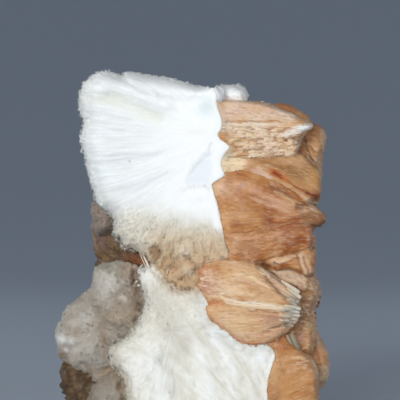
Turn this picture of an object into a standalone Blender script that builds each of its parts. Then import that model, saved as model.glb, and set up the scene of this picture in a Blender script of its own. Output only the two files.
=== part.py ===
"""Scolecite on stilbite: a cabinet mineral specimen, about 125 mm tall.

White sprays and balls of scolecite needles and a column of peach stilbite
sheaves grow on a brown stilbite matrix. The specimen is cut off flat at the
bottom and stands on the cut, which lies in the plane Z = 0. The front of the
specimen faces -Y.

Every crystal aggregate is drawn as an outline on the front elevation. One
drawing unit is a third of a millimetre: u runs to the right, v runs down, and
the base cut is at v = BASE_V. The elevation is drawn as the eye sees it from
EYE_DISTANCE in front of the plane Y = 0, at the height of the drawing's
middle, so an outline further back is spread a little by its distance.
"""

import math

import bmesh
import bpy

# ---------------------------------------------------------------- dimensions

MM = 0.001
UNIT = MM / 3.0            # one unit of the front elevation
MIDDLE_U = 200.0           # the drawing's upright centre line, X = 0
MIDDLE_V = 200.0           # the drawing's eye level
BASE_V = 445.0             # the flat cut that the specimen stands on
EYE_DISTANCE = 444.0 * MM  # where the elevation is drawn from
EYE_HEIGHT = (BASE_V - MIDDLE_V) * UNIT
PROUD = 0.42 * MM          # how far a cutter stands out from what it copies,
                           # which leaves about 0.3 mm between two neighbours
BELOW = 472.0              # outlines that the base cuts run on down to here

# ------------------------------------------------------------------ outlines
# (u, v), clockwise as seen from the front.

MATRIX = [
    (68, BELOW), (65, 420), (63, 396), (68, 374), (84, 358), (98, 334),
    (101, 300), (95, 274), (93, 255), (93, 236), (97, 214), (106, 190),
    (110, 152), (126, 116), (162, 100), (214, 103), (258, 107), (290, 118),
    (308, 140), (310, 190), (305, 245), (308, 300), (312, 345), (317, 390),
    (319, BELOW),
]

# The big spray, upper left: a fan that opens to the left and downwards.
FAN_UPPER = [
    (80, 110), (82, 95), (86, 80), (96, 70), (108, 71), (118, 75), (130, 70),
    (150, 73), (168, 75), (184, 80), (200, 87), (216, 94), (221, 108),
    (224, 122), (224, 136), (231, 146), (226, 156), (225, 175), (224, 195),
    (224, 215), (227, 238), (228, 258), (222, 276), (206, 290), (186, 292),
    (168, 282), (154, 270), (142, 256), (130, 246), (119, 234), (109, 214),
    (98, 200), (94, 180), (90, 162), (84, 150), (79, 138), (85, 122),
]

# The small white knob that shows behind the top sheaf.
LUMP_TOP = [
    (206, 100), (210, 91), (219, 85), (231, 84), (241, 86), (247, 92),
    (248, 102), (246, 118), (226, 124), (208, 116),
]

TUFT_LEFT = [
    (92, 226), (93, 212), (96, 201), (106, 197), (118, 206), (126, 224),
    (120, 238), (106, 241), (96, 236),
]

# The second spray: it opens up and to the left from the lower right.
FAN_LOWER = [
    (140, 269), (149, 263), (160, 269), (172, 279), (186, 287), (198, 294),
    (210, 300), (224, 312), (240, 326), (258, 338), (272, 346), (276, 354),
    (271, 368), (267, 384), (266, 400), (266, BELOW), (126, BELOW),
    (122, 400), (118, 380), (111, 368), (106, 352), (113, 337), (125, 328),
    (135, 321), (145, 308), (143, 290),
]

BALL_LEFT = [
    (55, 336), (60, 322), (69, 308), (82, 297), (98, 291), (114, 296),
    (128, 308), (134, 328), (131, 350), (120, 366), (102, 375), (82, 372),
    (67, 363), (59, 350),
]

BALL_UPPER_LEFT = [
    (92, 286), (95, 271), (105, 262), (121, 260), (137, 266), (146, 282),
    (147, 302), (138, 318), (121, 322), (104, 315), (95, 301),
]

BALL_BASE_LEFT = [
    (80, 405), (84, 386), (94, 374), (108, 369), (120, 376), (128, 392),
    (130, 420), (126, BELOW), (82, BELOW),
]

# The column of sheaves down the right side, from the top.
SHEAF_TOP = [
    (216, 104), (222, 98), (234, 98), (250, 101), (270, 104), (288, 111),
    (303, 121), (314, 128), (312, 134), (301, 140), (298, 150), (284, 153),
    (262, 152), (240, 151), (227, 144), (217, 134), (214, 118),
]

SHEAF_TOP_REAR = [
    (262, 110), (274, 104), (287, 106), (298, 113), (306, 122), (318, 127),
    (326, 136), (327, 150), (326, 165), (321, 180), (306, 184), (290, 168),
    (272, 140),
]

SHEAF_SECOND = [
    (208, 166), (214, 154), (226, 151), (238, 150), (256, 152), (280, 153),
    (300, 151), (312, 160), (321, 175), (323, 190), (320, 204), (308, 208),
    (290, 200), (270, 190), (250, 184), (234, 184), (216, 182),
]

FAN_RIGHT = [
    (212, 187), (220, 180), (236, 176), (252, 178), (270, 186), (290, 197),
    (308, 205), (320, 212), (327, 221), (327, 232), (317, 241), (300, 245),
    (280, 248), (258, 255), (240, 259), (228, 260), (221, 240), (216, 212),
]

SHEAF_FOURTH = [
    (216, 262), (222, 248), (240, 243), (262, 244), (285, 241), (302, 239),
    (316, 241), (318, 262), (315, 282), (300, 284), (280, 274), (258, 271),
    (238, 270), (224, 270),
]

BOW_TIE = [
    (198, 272), (204, 262), (215, 257), (231, 261), (248, 262), (264, 269),
    (281, 280), (296, 288), (302, 298), (303, 313), (299, 326), (290, 336),
    (276, 345), (258, 347), (240, 342), (222, 332), (209, 320), (201, 302),
    (197, 286),
]

SHEAF_REAR_RIGHT = [
    (270, 272), (284, 264), (300, 266), (313, 272), (321, 286), (322, 301),
    (319, 320), (318, 336), (312, 351), (300, 354), (284, 342), (276, 310),
]

BASE_RIGHT = [
    (252, 372), (262, 354), (280, 346), (300, 348), (313, 357), (319, 373),
    (319, 400), (321, BELOW), (250, BELOW), (248, 400),
]

LOBE_LOWER_RIGHT = [
    (294, 342), (304, 331), (316, 333), (325, 343), (330, 356), (331, 372),
    (325, 386), (312, 393), (298, 386), (292, 364),
]

# The far side, drawn as if the specimen were clear.
BACK_UPPER = [
    (166, 152), (176, 127), (198, 109), (232, 106), (266, 110), (289, 122),
    (303, 146), (305, 178), (297, 208), (274, 226), (238, 226), (202, 212),
    (176, 186),
]

BACK_MIDDLE = [
    (96, 220), (104, 182), (116, 146), (140, 122), (168, 124), (190, 152),
    (206, 190), (208, 232), (194, 270), (162, 290), (124, 282), (100, 256),
]

BACK_LOWER = [
    (190, 280), (198, 242), (222, 216), (256, 208), (288, 222), (308, 250),
    (315, 290), (312, 330), (286, 354), (248, 356), (212, 340), (194, 312),
]

BACK_SPRAY = [
    (70, 352), (80, 312), (100, 280), (130, 264), (164, 264), (194, 282),
    (210, 316), (212, 356), (198, 394), (166, 414), (122, 414), (86, 392),
]

BACK_BASE_RIGHT = [
    (196, 404), (204, 368), (226, 346), (258, 342), (290, 354), (310, 380),
    (317, 420), (317, BELOW), (192, BELOW),
]

BACK_BASE_LEFT = [
    (70, 424), (80, 398), (104, 386), (136, 386), (168, 392), (192, 404),
    (204, 428), (204, BELOW), (70, BELOW),
]

# ------------------------------------------------------------------- recipes
# The pieces, strongest first: each keeps its shape where it meets a later
# one, and gives way to the earlier ones. depths are (front, edge, back) in
# millimetres along Y; the outline is the edge, and the piece swells from it
# to the front and to the back. square is how flat its faces are. lean is how
# many millimetres it recedes over 100 drawing units to the right and down.
# ribs are the number and the depth of the furrows that fan over its front.

SCOLECITE, STILBITE, MATRIX_SLOT = "scolecite", "stilbite", "matrix"

RECIPES = {
    "stilbite_matrix": dict(
        slot=MATRIX_SLOT, outline=MATRIX, focus=(200, 290), sides=38, rings=9,
        depths=(-7.0, 7.0, 20.0), square=3.4, lumps=1.2,
    ),
    "stilbite_fan_right": dict(
        slot=STILBITE, outline=FAN_RIGHT, focus=(262, 216), sides=28, rings=8,
        depths=(-25.0, -10.0, 0.0), lean=(6.0, 0.0), ribs=(9, 0.6),
    ),
    "stilbite_sheaf_top": dict(
        slot=STILBITE, outline=SHEAF_TOP, focus=(252, 126), sides=26, rings=8,
        depths=(-25.0, -12.0, -2.0), lean=(4.0, 0.0), ribs=(8, 0.5),
    ),
    "stilbite_bow_tie": dict(
        slot=STILBITE, outline=BOW_TIE, focus=(250, 304), sides=30, rings=8,
        depths=(-29.0, -12.0, -1.0), lean=(3.0, 0.0), ribs=(8, 0.8),
    ),
    "scolecite_fan_upper": dict(
        slot=SCOLECITE, outline=FAN_UPPER, focus=(166, 162), sides=44,
        rings=9, depths=(-24.0, -7.0, 5.0), square=3.8, lean=(-3.5, 2.0),
        ribs=(9, 0.7),
    ),
    "stilbite_sheaf_second": dict(
        slot=STILBITE, outline=SHEAF_SECOND, focus=(268, 172), sides=26,
        rings=7, depths=(-23.5, -10.0, -1.0), lean=(5.0, 0.0), ribs=(7, 0.5),
    ),
    "stilbite_sheaf_fourth": dict(
        slot=STILBITE, outline=SHEAF_FOURTH, focus=(272, 257), sides=24,
        rings=7, depths=(-23.0, -9.0, 0.0), lean=(6.0, 0.0),
    ),
    "scolecite_fan_lower": dict(
        slot=SCOLECITE, outline=FAN_LOWER, focus=(196, 360), sides=42,
        rings=10, depths=(-23.0, -9.0, 1.0), square=2.8, lean=(0.0, -3.0),
        ribs=(7, 0.8),
    ),
    "stilbite_base_right": dict(
        slot=STILBITE, outline=BASE_RIGHT, focus=(286, 404), sides=26,
        rings=7, depths=(-18.0, -7.0, 3.0), lean=(2.0, 0.0),
    ),
    "scolecite_ball_upper_left": dict(
        slot=SCOLECITE, outline=BALL_UPPER_LEFT, focus=(120, 292), sides=20,
        rings=8, depths=(-14.0, -1.0, 12.0), square=2.1,
    ),
    "scolecite_ball_left": dict(
        slot=SCOLECITE, outline=BALL_LEFT, focus=(95, 333), sides=22, rings=9,
        depths=(-10.0, 5.0, 22.0), square=2.1,
    ),
    "scolecite_ball_base_left": dict(
        slot=SCOLECITE, outline=BALL_BASE_LEFT, focus=(105, 418), sides=20,
        rings=8, depths=(-16.0, -3.0, 9.0), square=2.2,
    ),
    "scolecite_lump_top": dict(
        slot=SCOLECITE, outline=LUMP_TOP, focus=(228, 102), sides=18, rings=7,
        depths=(-15.0, -6.0, 5.0),
    ),
    "scolecite_tuft_left": dict(
        slot=SCOLECITE, outline=TUFT_LEFT, focus=(107, 219), sides=16, rings=6,
        depths=(-9.0, 0.0, 10.0),
    ),
    "stilbite_sheaf_top_rear": dict(
        slot=STILBITE, outline=SHEAF_TOP_REAR, focus=(304, 146), sides=20,
        rings=7, depths=(-12.0, -1.0, 11.0), lean=(6.0, 0.0),
    ),
    "stilbite_sheaf_rear_right": dict(
        slot=STILBITE, outline=SHEAF_REAR_RIGHT, focus=(299, 308), sides=22,
        rings=7, depths=(-15.0, -3.0, 8.0), lean=(6.0, 0.0),
    ),
    "stilbite_lobe_lower_right": dict(
        slot=STILBITE, outline=LOBE_LOWER_RIGHT, focus=(312, 362), sides=20,
        rings=7, depths=(-6.0, 4.0, 15.0),
    ),
    "stilbite_sheaf_back_upper": dict(
        slot=STILBITE, outline=BACK_UPPER, focus=(240, 164), sides=26,
        rings=7, depths=(10.0, 17.5, 29.5), lean=(-2.0, 0.0), lumps=0.8,
    ),
    "stilbite_sheaf_back_middle": dict(
        slot=STILBITE, outline=BACK_MIDDLE, focus=(154, 206), sides=26,
        rings=8, depths=(7.0, 16.0, 30.0), lean=(3.0, 0.0), lumps=0.8,
    ),
    "stilbite_sheaf_back_lower": dict(
        slot=STILBITE, outline=BACK_LOWER, focus=(254, 284), sides=26,
        rings=7, depths=(8.0, 17.0, 31.0), lean=(-3.0, 0.0), lumps=0.8,
    ),
    "scolecite_spray_back": dict(
        slot=SCOLECITE, outline=BACK_SPRAY, focus=(146, 338), sides=26,
        rings=7, depths=(8.0, 16.0, 30.0), square=2.3, lean=(4.0, 0.0),
    ),
    "stilbite_base_back_left": dict(
        slot=STILBITE, outline=BACK_BASE_LEFT, focus=(137, 427), sides=22,
        rings=7, depths=(11.0, 15.0, 26.5), square=2.3,
    ),
    "stilbite_base_back_right": dict(
        slot=STILBITE, outline=BACK_BASE_RIGHT, focus=(256, 408), sides=24,
        rings=7, depths=(8.0, 15.0, 27.0), lumps=0.8,
    ),
}

LOOKS = {
    SCOLECITE: ((0.86, 0.86, 0.83), 0.6),
    STILBITE: ((0.62, 0.36, 0.20), 0.4),
    MATRIX_SLOT: ((0.20, 0.12, 0.08), 0.7),
}

# ------------------------------------------------------------------- helpers


def place(u, v, y):
    """A point of the front elevation, at the depth y, in metres."""
    spread = 1.0 + y / EYE_DISTANCE
    return (
        (u - MIDDLE_U) * UNIT * spread,
        y,
        EYE_HEIGHT + (MIDDLE_V - v) * UNIT * spread,
    )


def reach(outline, u0, v0, angle):
    """How far the outline is from (u0, v0) in a direction, in drawing units."""
    du, dv = math.cos(angle), -math.sin(angle)
    found = 0.0
    for (au, av), (bu, bv) in zip(outline, outline[1:] + outline[:1]):
        eu, ev = bu - au, bv - av
        cross = du * ev - dv * eu
        if abs(cross) < 1e-9:
            continue
        along = ((au - u0) * ev - (av - v0) * eu) / cross
        share = ((au - u0) * dv - (av - v0) * du) / cross
        if along > 0.0 and -1e-6 <= share <= 1.0 + 1e-6:
            found = max(found, along)
    return found


def soften(outline):
    """The outline with its corners cut off."""
    cut_off = []
    for (au, av), (bu, bv) in zip(outline, outline[1:] + outline[:1]):
        cut_off.append((au * 0.8 + bu * 0.2, av * 0.8 + bv * 0.2))
        cut_off.append((au * 0.2 + bu * 0.8, av * 0.2 + bv * 0.8))
    return cut_off


def crystal_body(recipe, grow=0.0):
    """The closed skin of one aggregate: a sphere pulled out to its outline.

    Each direction of the sphere keeps its angle about the aggregate's focus,
    and its distance from the sphere's axis says how far out towards the
    outline it goes. The poles become the middle of the front and of the back.
    """
    bm = bmesh.new()
    bmesh.ops.create_uvsphere(
        bm, u_segments=recipe["sides"], v_segments=recipe["rings"], radius=1.0
    )
    outline = soften(recipe["outline"])
    u0, v0 = recipe["focus"]
    front, edge, back = recipe["depths"]
    lean_u, lean_v = recipe.get("lean", (0.0, 0.0))
    square = recipe.get("square", 2.6)
    ribs, rib_depth = recipe.get("ribs", (0, 0.0))
    lumps = recipe.get("lumps", 0.0)
    for vert in bm.verts:
        pole = vert.co.z
        out = min(1.0, math.hypot(vert.co.x, vert.co.y))
        angle = math.atan2(vert.co.y, vert.co.x)
        swell = max(0.0, 1.0 - out**square) ** (1.0 / square)
        far = reach(outline, u0, v0, angle) * out**0.9
        u = u0 + far * math.cos(angle)
        v = v0 - far * math.sin(angle)
        y = edge + ((front if pole > 0.0 else back) - edge) * swell
        y += (lean_u * (u - u0) + lean_v * (v - v0)) / 100.0
        y += lumps * swell * math.sin(u / 13.0 + v / 29.0) * math.cos(v / 17.0)
        if pole > 0.0:
            y -= rib_depth * swell * out * math.cos(ribs * angle)
        vert.co = place(u, v, y * MM)
    # The moved quads aren't flat, and a Boolean cuts only flat faces well.
    bmesh.ops.triangulate(bm, faces=bm.faces)
    if grow:
        bm.normal_update()
        for vert, normal in [(v, v.normal.copy()) for v in bm.verts]:
            vert.co += normal * grow
    mesh = bpy.data.meshes.new("crystal_body")
    bm.to_mesh(mesh)
    bm.free()
    return mesh


def new_collection(name):
    made = bpy.data.collections.new(name)
    bpy.context.scene.collection.children.link(made)
    return made


def new_object(name, mesh, home):
    made = bpy.data.objects.new(name, mesh)
    home.objects.link(made)
    return made


def new_material(name, colour, roughness):
    made = bpy.data.materials.new(name)
    made.use_nodes = True
    shader = made.node_tree.nodes["Principled BSDF"]
    shader.inputs["Base Color"].default_value = (*colour, 1.0)
    shader.inputs["Roughness"].default_value = roughness
    shader.inputs["Metallic"].default_value = 0.0
    return made


def cut(target, cutter):
    """Takes the cutter's space away from the target."""
    modifier = target.modifiers.new("cut_" + cutter.name, "BOOLEAN")
    modifier.operation = "DIFFERENCE"
    modifier.solver = "EXACT"
    modifier.object = cutter


def box_of(mesh):
    """The lowest and the highest corner of a mesh."""
    axes = list(zip(*(v.co for v in mesh.vertices)))
    return [min(a) for a in axes], [max(a) for a in axes]


def boxes_meet(one, other):
    return all(
        one[0][k] < other[1][k] and other[0][k] < one[1][k] for k in range(3)
    )


def everything_below(home):
    """A block whose top is the plane that the specimen stands on."""
    bm = bmesh.new()
    bmesh.ops.create_cube(bm, size=1.0)
    bmesh.ops.scale(bm, vec=(0.3, 0.3, 0.05), verts=bm.verts)
    bmesh.ops.translate(bm, vec=(0.0, 0.0, -0.025), verts=bm.verts)
    mesh = bpy.data.meshes.new("below_base")
    bm.to_mesh(mesh)
    bm.free()
    return new_object("below_base", mesh, home)


def main():
    for old in list(bpy.data.objects):
        bpy.data.objects.remove(old)

    specimen = new_collection("scolecite_on_stilbite")
    cutters = new_collection("cutters")
    below = everything_below(cutters)

    earlier = []
    for name, recipe in RECIPES.items():
        piece = new_object(name, crystal_body(recipe), specimen)
        piece.data.name = name
        colour, roughness = LOOKS[recipe["slot"]]
        piece.data.materials.append(new_material(name, colour, roughness))
        piece.data.shade_smooth()
        piece.data.set_sharp_from_angle(angle=math.radians(40))

        box = box_of(piece.data)
        if box[0][2] < 0.0:
            cut(piece, below)
        for stronger, its_box in earlier:
            if boxes_meet(box, its_box):
                cut(piece, stronger)

        # What later pieces are cut by: this one, grown by the gap.
        proud = new_object("proud_" + name, crystal_body(recipe, PROUD), cutters)
        earlier.append((proud, box_of(proud.data)))

    for cutter in cutters.objects:
        cutter.hide_render = True
        cutter.display_type = "WIRE"


main()
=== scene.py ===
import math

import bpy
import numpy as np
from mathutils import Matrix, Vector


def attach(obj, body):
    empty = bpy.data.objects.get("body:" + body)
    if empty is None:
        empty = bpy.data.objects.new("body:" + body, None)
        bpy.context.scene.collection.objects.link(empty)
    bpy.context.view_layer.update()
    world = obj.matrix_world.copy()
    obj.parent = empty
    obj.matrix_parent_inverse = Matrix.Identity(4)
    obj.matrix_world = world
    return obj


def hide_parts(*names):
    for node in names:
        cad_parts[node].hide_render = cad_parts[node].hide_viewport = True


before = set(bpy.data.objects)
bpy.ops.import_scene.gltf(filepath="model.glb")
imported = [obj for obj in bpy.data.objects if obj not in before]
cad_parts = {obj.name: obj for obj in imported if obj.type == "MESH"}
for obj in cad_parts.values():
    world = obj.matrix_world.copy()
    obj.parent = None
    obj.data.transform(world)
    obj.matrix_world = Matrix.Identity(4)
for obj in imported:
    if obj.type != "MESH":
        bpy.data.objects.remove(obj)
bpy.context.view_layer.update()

# The looks of a scolecite on stilbite specimen: white sprays and balls of
# needles and a column of peach sheaves on a brown matrix, cut flat at Z = 0.
#
# Every aggregate is a closed skin on a fan of lines that run from the point
# its crystals grow from to its outline, so the furrows, plates and cracks
# follow the crystals. Positions are first worked out on the front elevation:
# u runs right and v runs down in units of a third of a millimetre, and y is
# the depth in millimetres, negative towards the viewer. Where two aggregates
# have grown together, each outline runs on a little under its neighbour.

MM = 0.001
UNIT = MM / 3.0
MIDDLE_U = 200.0
MIDDLE_V = 200.0
BASE_V = 445.0
BELOW = 472.0
EYE_DISTANCE = 444.0 * MM
EYE_HEIGHT = (BASE_V - MIDDLE_V) * UNIT

# ------------------------------------------------------------------ outlines
# (u, v), clockwise as seen from the front.

MATRIX = [
    (70, BELOW), (66, 420), (64, 398), (60, 380), (59, 362), (66, 348),
    (92, 330), (101, 300), (96, 274), (93.5, 255), (92, 236), (93, 222),
    (97, 208), (106, 190), (110, 152), (126, 116), (162, 100), (214, 103),
    (258, 107), (290, 118), (308, 140), (310, 190), (305, 245), (308, 300),
    (312, 345), (317, 390), (319, BELOW),
]

FAN_UPPER = [
    (79, 108), (80, 92), (83.5, 80.5), (93, 75.5), (99, 71), (108, 71),
    (116, 73.5), (122, 75.5), (126, 72), (133, 71.5), (146, 74), (162, 76),
    (176, 79), (190, 83.5), (199, 86), (208, 86.5), (215, 89),
    (217.5, 96), (216, 103),
    (219.5, 113), (222.5, 122), (221, 129), (217, 134.5), (221, 140),
    (231, 147), (225, 153), (221, 160), (221.5, 168), (225.5, 175.5),
    (219, 179.5), (211, 184), (214, 193), (218, 205), (220.5, 218),
    (222.5, 228), (225, 240), (228, 251), (228, 259), (221.5, 265),
    (212, 269), (205, 275), (199, 284), (190, 290), (177, 288), (166, 280),
    (157, 268), (150, 259), (142, 255), (134, 250), (124, 247), (120, 239),
    (113.5, 235), (114, 226), (112, 217), (106, 211), (99, 207), (95, 198),
    (92, 188), (88.5, 177), (86, 163), (83, 151), (79, 141), (82, 131),
    (84, 121), (81, 115),
]

LUMP_TOP = [
    (206, 99), (209, 93), (214, 87.5), (220, 85), (231, 83.5), (240, 85),
    (247, 90), (248.5, 98), (246, 103), (238, 105), (222, 103.5), (211, 102),
]

TUFT_LEFT = [
    (91.5, 226), (91, 214), (94, 202), (104, 196), (118, 204), (124, 222),
    (118, 234), (106, 237), (95, 234),
]

FAN_LOWER = [
    (137.5, 269), (148, 265), (159, 260), (172, 264), (184, 274), (194, 282),
    (206, 291), (214, 300), (218, 309), (226, 317), (238, 326), (250, 335),
    (262, 342), (273, 348), (276, 356), (270, 369), (267, 383), (267, 400),
    (267, BELOW), (126, BELOW), (127, 400), (124.5, 385), (119, 371),
    (109, 361), (107.5, 351), (115, 342), (126, 335), (135, 328),
    (139.5, 318), (145, 305), (142, 292), (137, 279),
]

BALL_LEFT = [
    (54.5, 335), (58.5, 325), (64, 314), (70, 304.5), (78, 296), (87, 288.5),
    (100, 284), (118, 288), (136, 296), (146, 308), (146, 326), (136, 342),
    (126, 358), (120, 374), (106, 382), (90, 382), (76, 377), (66, 369),
    (59, 357), (56, 345),
]

BALL_UPPER_LEFT = [
    (92, 280), (94.5, 267.5), (101, 262.5), (114, 260), (128, 262),
    (140, 267), (147, 280), (151, 296), (149, 314), (140, 328), (120, 330),
    (102, 320), (92, 306), (90, 291),
]

BALL_BASE_LEFT = [
    (86, 404), (92, 386), (101, 377), (113, 371), (124, 374), (134, 390),
    (136, 420), (132, BELOW), (82, BELOW),
]

SHEAF_TOP = [
    (202, 108), (208, 101), (216, 99.5), (234, 99), (250, 100.5),
    (262, 102), (274, 105.5), (286, 110), (298, 116), (307, 121),
    (313.5, 125), (313, 129), (306, 134), (302, 140), (300, 149), (292, 157),
    (268, 158), (240, 158), (222, 156), (208, 150), (203, 130),
]

SHEAF_TOP_REAR = [
    (262, 106), (271, 103.5), (284, 103.5), (293, 106), (302, 111.5),
    (308.5, 115.5), (312.5, 123), (318, 124.5), (324, 128), (326.5, 136),
    (326, 146), (323.5, 156), (322, 166), (323, 178), (316, 190), (302, 190),
    (288, 172), (272, 140),
]

SHEAF_SECOND = [
    (202, 170), (205, 152), (218, 145), (232, 143), (256, 144), (280, 144),
    (297, 148), (306, 157), (314, 164), (321, 170), (323, 183), (321.5, 193),
    (319, 201), (316, 206), (304, 209), (288, 204), (270, 197), (250, 191),
    (232, 190), (212, 190),
]

FAN_RIGHT = [
    (202, 190), (212, 179), (224, 172), (240, 170), (254, 173), (270, 179),
    (288, 189), (304, 199), (314, 203), (322, 209), (327, 217.5),
    (326.5, 223), (320.5, 226.5), (314.5, 228.5), (314.5, 246), (300, 252),
    (280, 256), (258, 262), (238, 266), (218, 264), (208, 246), (204, 220),
]

SHEAF_FOURTH = [
    (206, 266), (210, 246), (226, 237), (246, 234), (270, 233), (292, 231),
    (315, 232), (316, 246), (316.5, 262), (316, 274), (306, 279),
    (292, 270), (282, 270), (276, 275), (262, 278), (238, 278), (216, 280),
]

BOW_TIE = [
    (197.5, 278), (199.5, 269), (205, 263), (217, 260.5), (229.7, 259.5),
    (241, 259.5), (257, 264), (264, 267), (276, 275.5), (284, 281.5),
    (300, 292.5), (301, 307), (299, 315.5), (297.5, 323), (294, 327),
    (287, 335), (274, 341.5), (262, 346), (251.5, 346), (239, 341.5),
    (226, 333), (215.5, 325), (207, 316), (206, 307), (207.5, 303),
    (202.5, 295), (197.5, 288),
]

SHEAF_REAR_RIGHT = [
    (264, 272), (270, 264), (284, 262), (300, 265), (314, 271),
    (319.7, 281.5), (321, 293.5), (319, 303), (315, 309), (316, 316),
    (317, 330), (318, 342), (312, 356), (296, 358), (280, 344), (270, 310),
]

BASE_RIGHT = [
    (248, 372), (252, 352), (260, 337), (272, 328), (284, 329), (292, 338),
    (300, 349), (309, 354), (316, 361), (319, 375), (319.5, 400),
    (321, BELOW), (250, BELOW), (248, 400),
]

LOBE_LOWER_RIGHT = [
    (290, 340), (298, 331), (309, 328), (317, 331), (321, 340), (329, 351),
    (330, 366), (328, 380), (322, 388), (312, 396), (296, 386), (290, 364),
]

BACK_UPPER = [
    (166, 152), (176, 127), (198, 109), (232, 106), (266, 110), (289, 122),
    (303, 146), (305, 178), (297, 208), (274, 226), (238, 226), (202, 212),
    (176, 186),
]

BACK_MIDDLE = [
    (96, 220), (104, 182), (116, 146), (140, 122), (168, 124), (190, 152),
    (206, 190), (208, 232), (194, 270), (162, 290), (124, 282), (100, 256),
]

BACK_LOWER = [
    (190, 280), (198, 242), (222, 216), (256, 208), (288, 222), (308, 250),
    (315, 290), (312, 330), (286, 354), (248, 356), (212, 340), (194, 312),
]

BACK_SPRAY = [
    (70, 352), (80, 312), (100, 280), (130, 264), (164, 264), (194, 282),
    (210, 316), (212, 356), (198, 394), (166, 414), (122, 414), (86, 392),
]

BACK_BASE_RIGHT = [
    (196, 404), (204, 368), (226, 346), (258, 342), (290, 354), (310, 380),
    (317, 420), (317, BELOW), (192, BELOW),
]

BACK_BASE_LEFT = [
    (70, 424), (80, 398), (104, 386), (136, 386), (168, 392), (192, 404),
    (204, 428), (204, BELOW), (70, BELOW),
]

# Outer borders of the front sheaves, where they fall away to the pieces
# behind them.
TOP_SHOULDER = [
    (200, 97), (250, 98), (274, 103), (298, 113), (315, 124), (308, 134),
    (304, 142), (302, 151),
]
SECOND_SHOULDER = [
    (300, 149), (308, 158), (323, 170), (325, 184), (321, 202), (317, 207),
]
FAN_SHOULDER = [
    (316, 202), (324, 209), (329, 217), (328, 225), (317, 230), (317, 248),
]
FOURTH_SHOULDER = [
    (318, 230), (318, 262), (318, 276), (306, 281), (292, 272), (281, 272),
]
BOW_SHOULDER = [
    (266, 267), (285, 281), (302, 292), (303, 308), (299, 325), (288, 337),
]
BASE_SHOULDER = [
    (292, 336), (302, 348), (312, 353), (319, 361), (322, 376), (323, 472),
]

# ------------------------------------------------------------------- colours


def linear(colour):
    """A 0 to 255 screen colour as linear light."""
    c = np.asarray(colour, float) / 255.0
    return np.where(c <= 0.04045, c / 12.92, ((c + 0.055) / 1.055) ** 2.4)


SNOW = linear((247, 250, 250))
PEARL = linear((236, 238, 240))
CREAM = linear((229, 226, 214))
IVORY = linear((224, 214, 196))
SAND = linear((205, 182, 153))
FAWN = linear((178, 148, 118))
ROSY = linear((196, 160, 148))
ASH = linear((186, 180, 172))
DUSK = linear((128, 116, 104))

BLUSH = linear((236, 214, 190))
PEACH = linear((222, 187, 148))
TAN = linear((205, 156, 106))
AMBER = linear((187, 129, 73))
RUST = linear((157, 87, 38))
BRICK = linear((140, 58, 26))
UMBER = linear((104, 68, 44))
BARK = linear((74, 56, 42))
MOSS = linear((112, 92, 66))


def blend(base, other, share):
    """Moves the colours in base towards another colour."""
    share = np.clip(share, 0.0, 1.0)[..., None]
    return base * (1.0 - share) + other * share


def ramp(q, *stops):
    """Colours along a list of stops, evenly spaced over 0 to 1."""
    q = np.clip(q, 0.0, 1.0) * (len(stops) - 1)
    k = np.clip(q.astype(int), 0, len(stops) - 2)
    share = (q - k)[..., None]
    stops = np.array(stops)
    return stops[k] * (1.0 - share) + stops[k + 1] * share


# --------------------------------------------------------------------- noise


def lattice(cell, seed):
    """A number from -1 to 1 for each whole-numbered cell, fixed by the seed."""
    n = cell.astype(np.int64).astype(np.uint32)
    with np.errstate(over="ignore"):
        h = (
            n[..., 0] * np.uint32(0x9E3779B1)
            ^ n[..., 1] * np.uint32(0x85EBCA77)
            ^ n[..., 2] * np.uint32(0xC2B2AE3D)
            ^ np.uint32((seed * 0x27D4EB2F + 0x165667B1) & 0xFFFFFFFF)
        )
        h ^= h >> np.uint32(15)
        h *= np.uint32(0x2C1B3C6D)
        h ^= h >> np.uint32(12)
        h *= np.uint32(0x297A2D39)
        h ^= h >> np.uint32(15)
    return h.astype(np.float64) / 2147483648.0 - 1.0


def noise(points, seed=0):
    """Smooth noise from about -1 to 1."""
    cell = np.floor(points)
    part = points - cell
    ease = part * part * part * (part * (part * 6.0 - 15.0) + 10.0)
    total = 0.0
    for i in (0, 1):
        wx = ease[..., 0] if i else 1.0 - ease[..., 0]
        for j in (0, 1):
            wy = ease[..., 1] if j else 1.0 - ease[..., 1]
            for k in (0, 1):
                wz = ease[..., 2] if k else 1.0 - ease[..., 2]
                total = total + wx * wy * wz * lattice(
                    cell + np.array([i, j, k]), seed
                )
    return total


def clouds(points, seed=0, octaves=3, gain=0.5):
    """Noise in several sizes, each half the size of the last."""
    total, weight, size = 0.0, 0.0, 1.0
    for k in range(octaves):
        total = total + noise(points * size, seed + 31 * k) * gain**k
        weight += gain**k
        size *= 2.03
    return total / weight


def cells(points, seed=0):
    """Distance to the nearest and second nearest of scattered seeds, and a
    random number from -1 to 1 of the nearest."""
    home = np.floor(points)
    first = np.full(points.shape[:-1], 9.0)
    second = np.full(points.shape[:-1], 9.0)
    mark = np.zeros(points.shape[:-1])
    for i in (-1, 0, 1):
        for j in (-1, 0, 1):
            for k in (-1, 0, 1):
                cell = home + np.array([i, j, k])
                seed_at = cell + 0.5 + 0.45 * np.stack(
                    [lattice(cell, seed + n) for n in (1, 2, 3)], axis=-1
                )
                far = np.linalg.norm(points - seed_at, axis=-1)
                nearer = far < first
                second = np.where(nearer, first, np.minimum(second, far))
                mark = np.where(nearer, lattice(cell, seed + 4), mark)
                first = np.where(nearer, far, first)
    return first, second, mark


def rise(x, low, high):
    """0 below low, 1 above high, and a smooth step between."""
    x = np.clip((x - low) / (high - low), 0.0, 1.0)
    return x * x * (3.0 - 2.0 * x)


# ---------------------------------------------------------------- flat helpers


def place(u, v, y):
    """Points of the front elevation, with y in millimetres, in metres."""
    y = np.asarray(y, float) * MM
    spread = 1.0 + y / EYE_DISTANCE
    return np.stack(
        [
            (u - MIDDLE_U) * UNIT * spread,
            y + 0.0 * u,
            EYE_HEIGHT + (MIDDLE_V - v) * UNIT * spread,
        ],
        axis=-1,
    )


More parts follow.
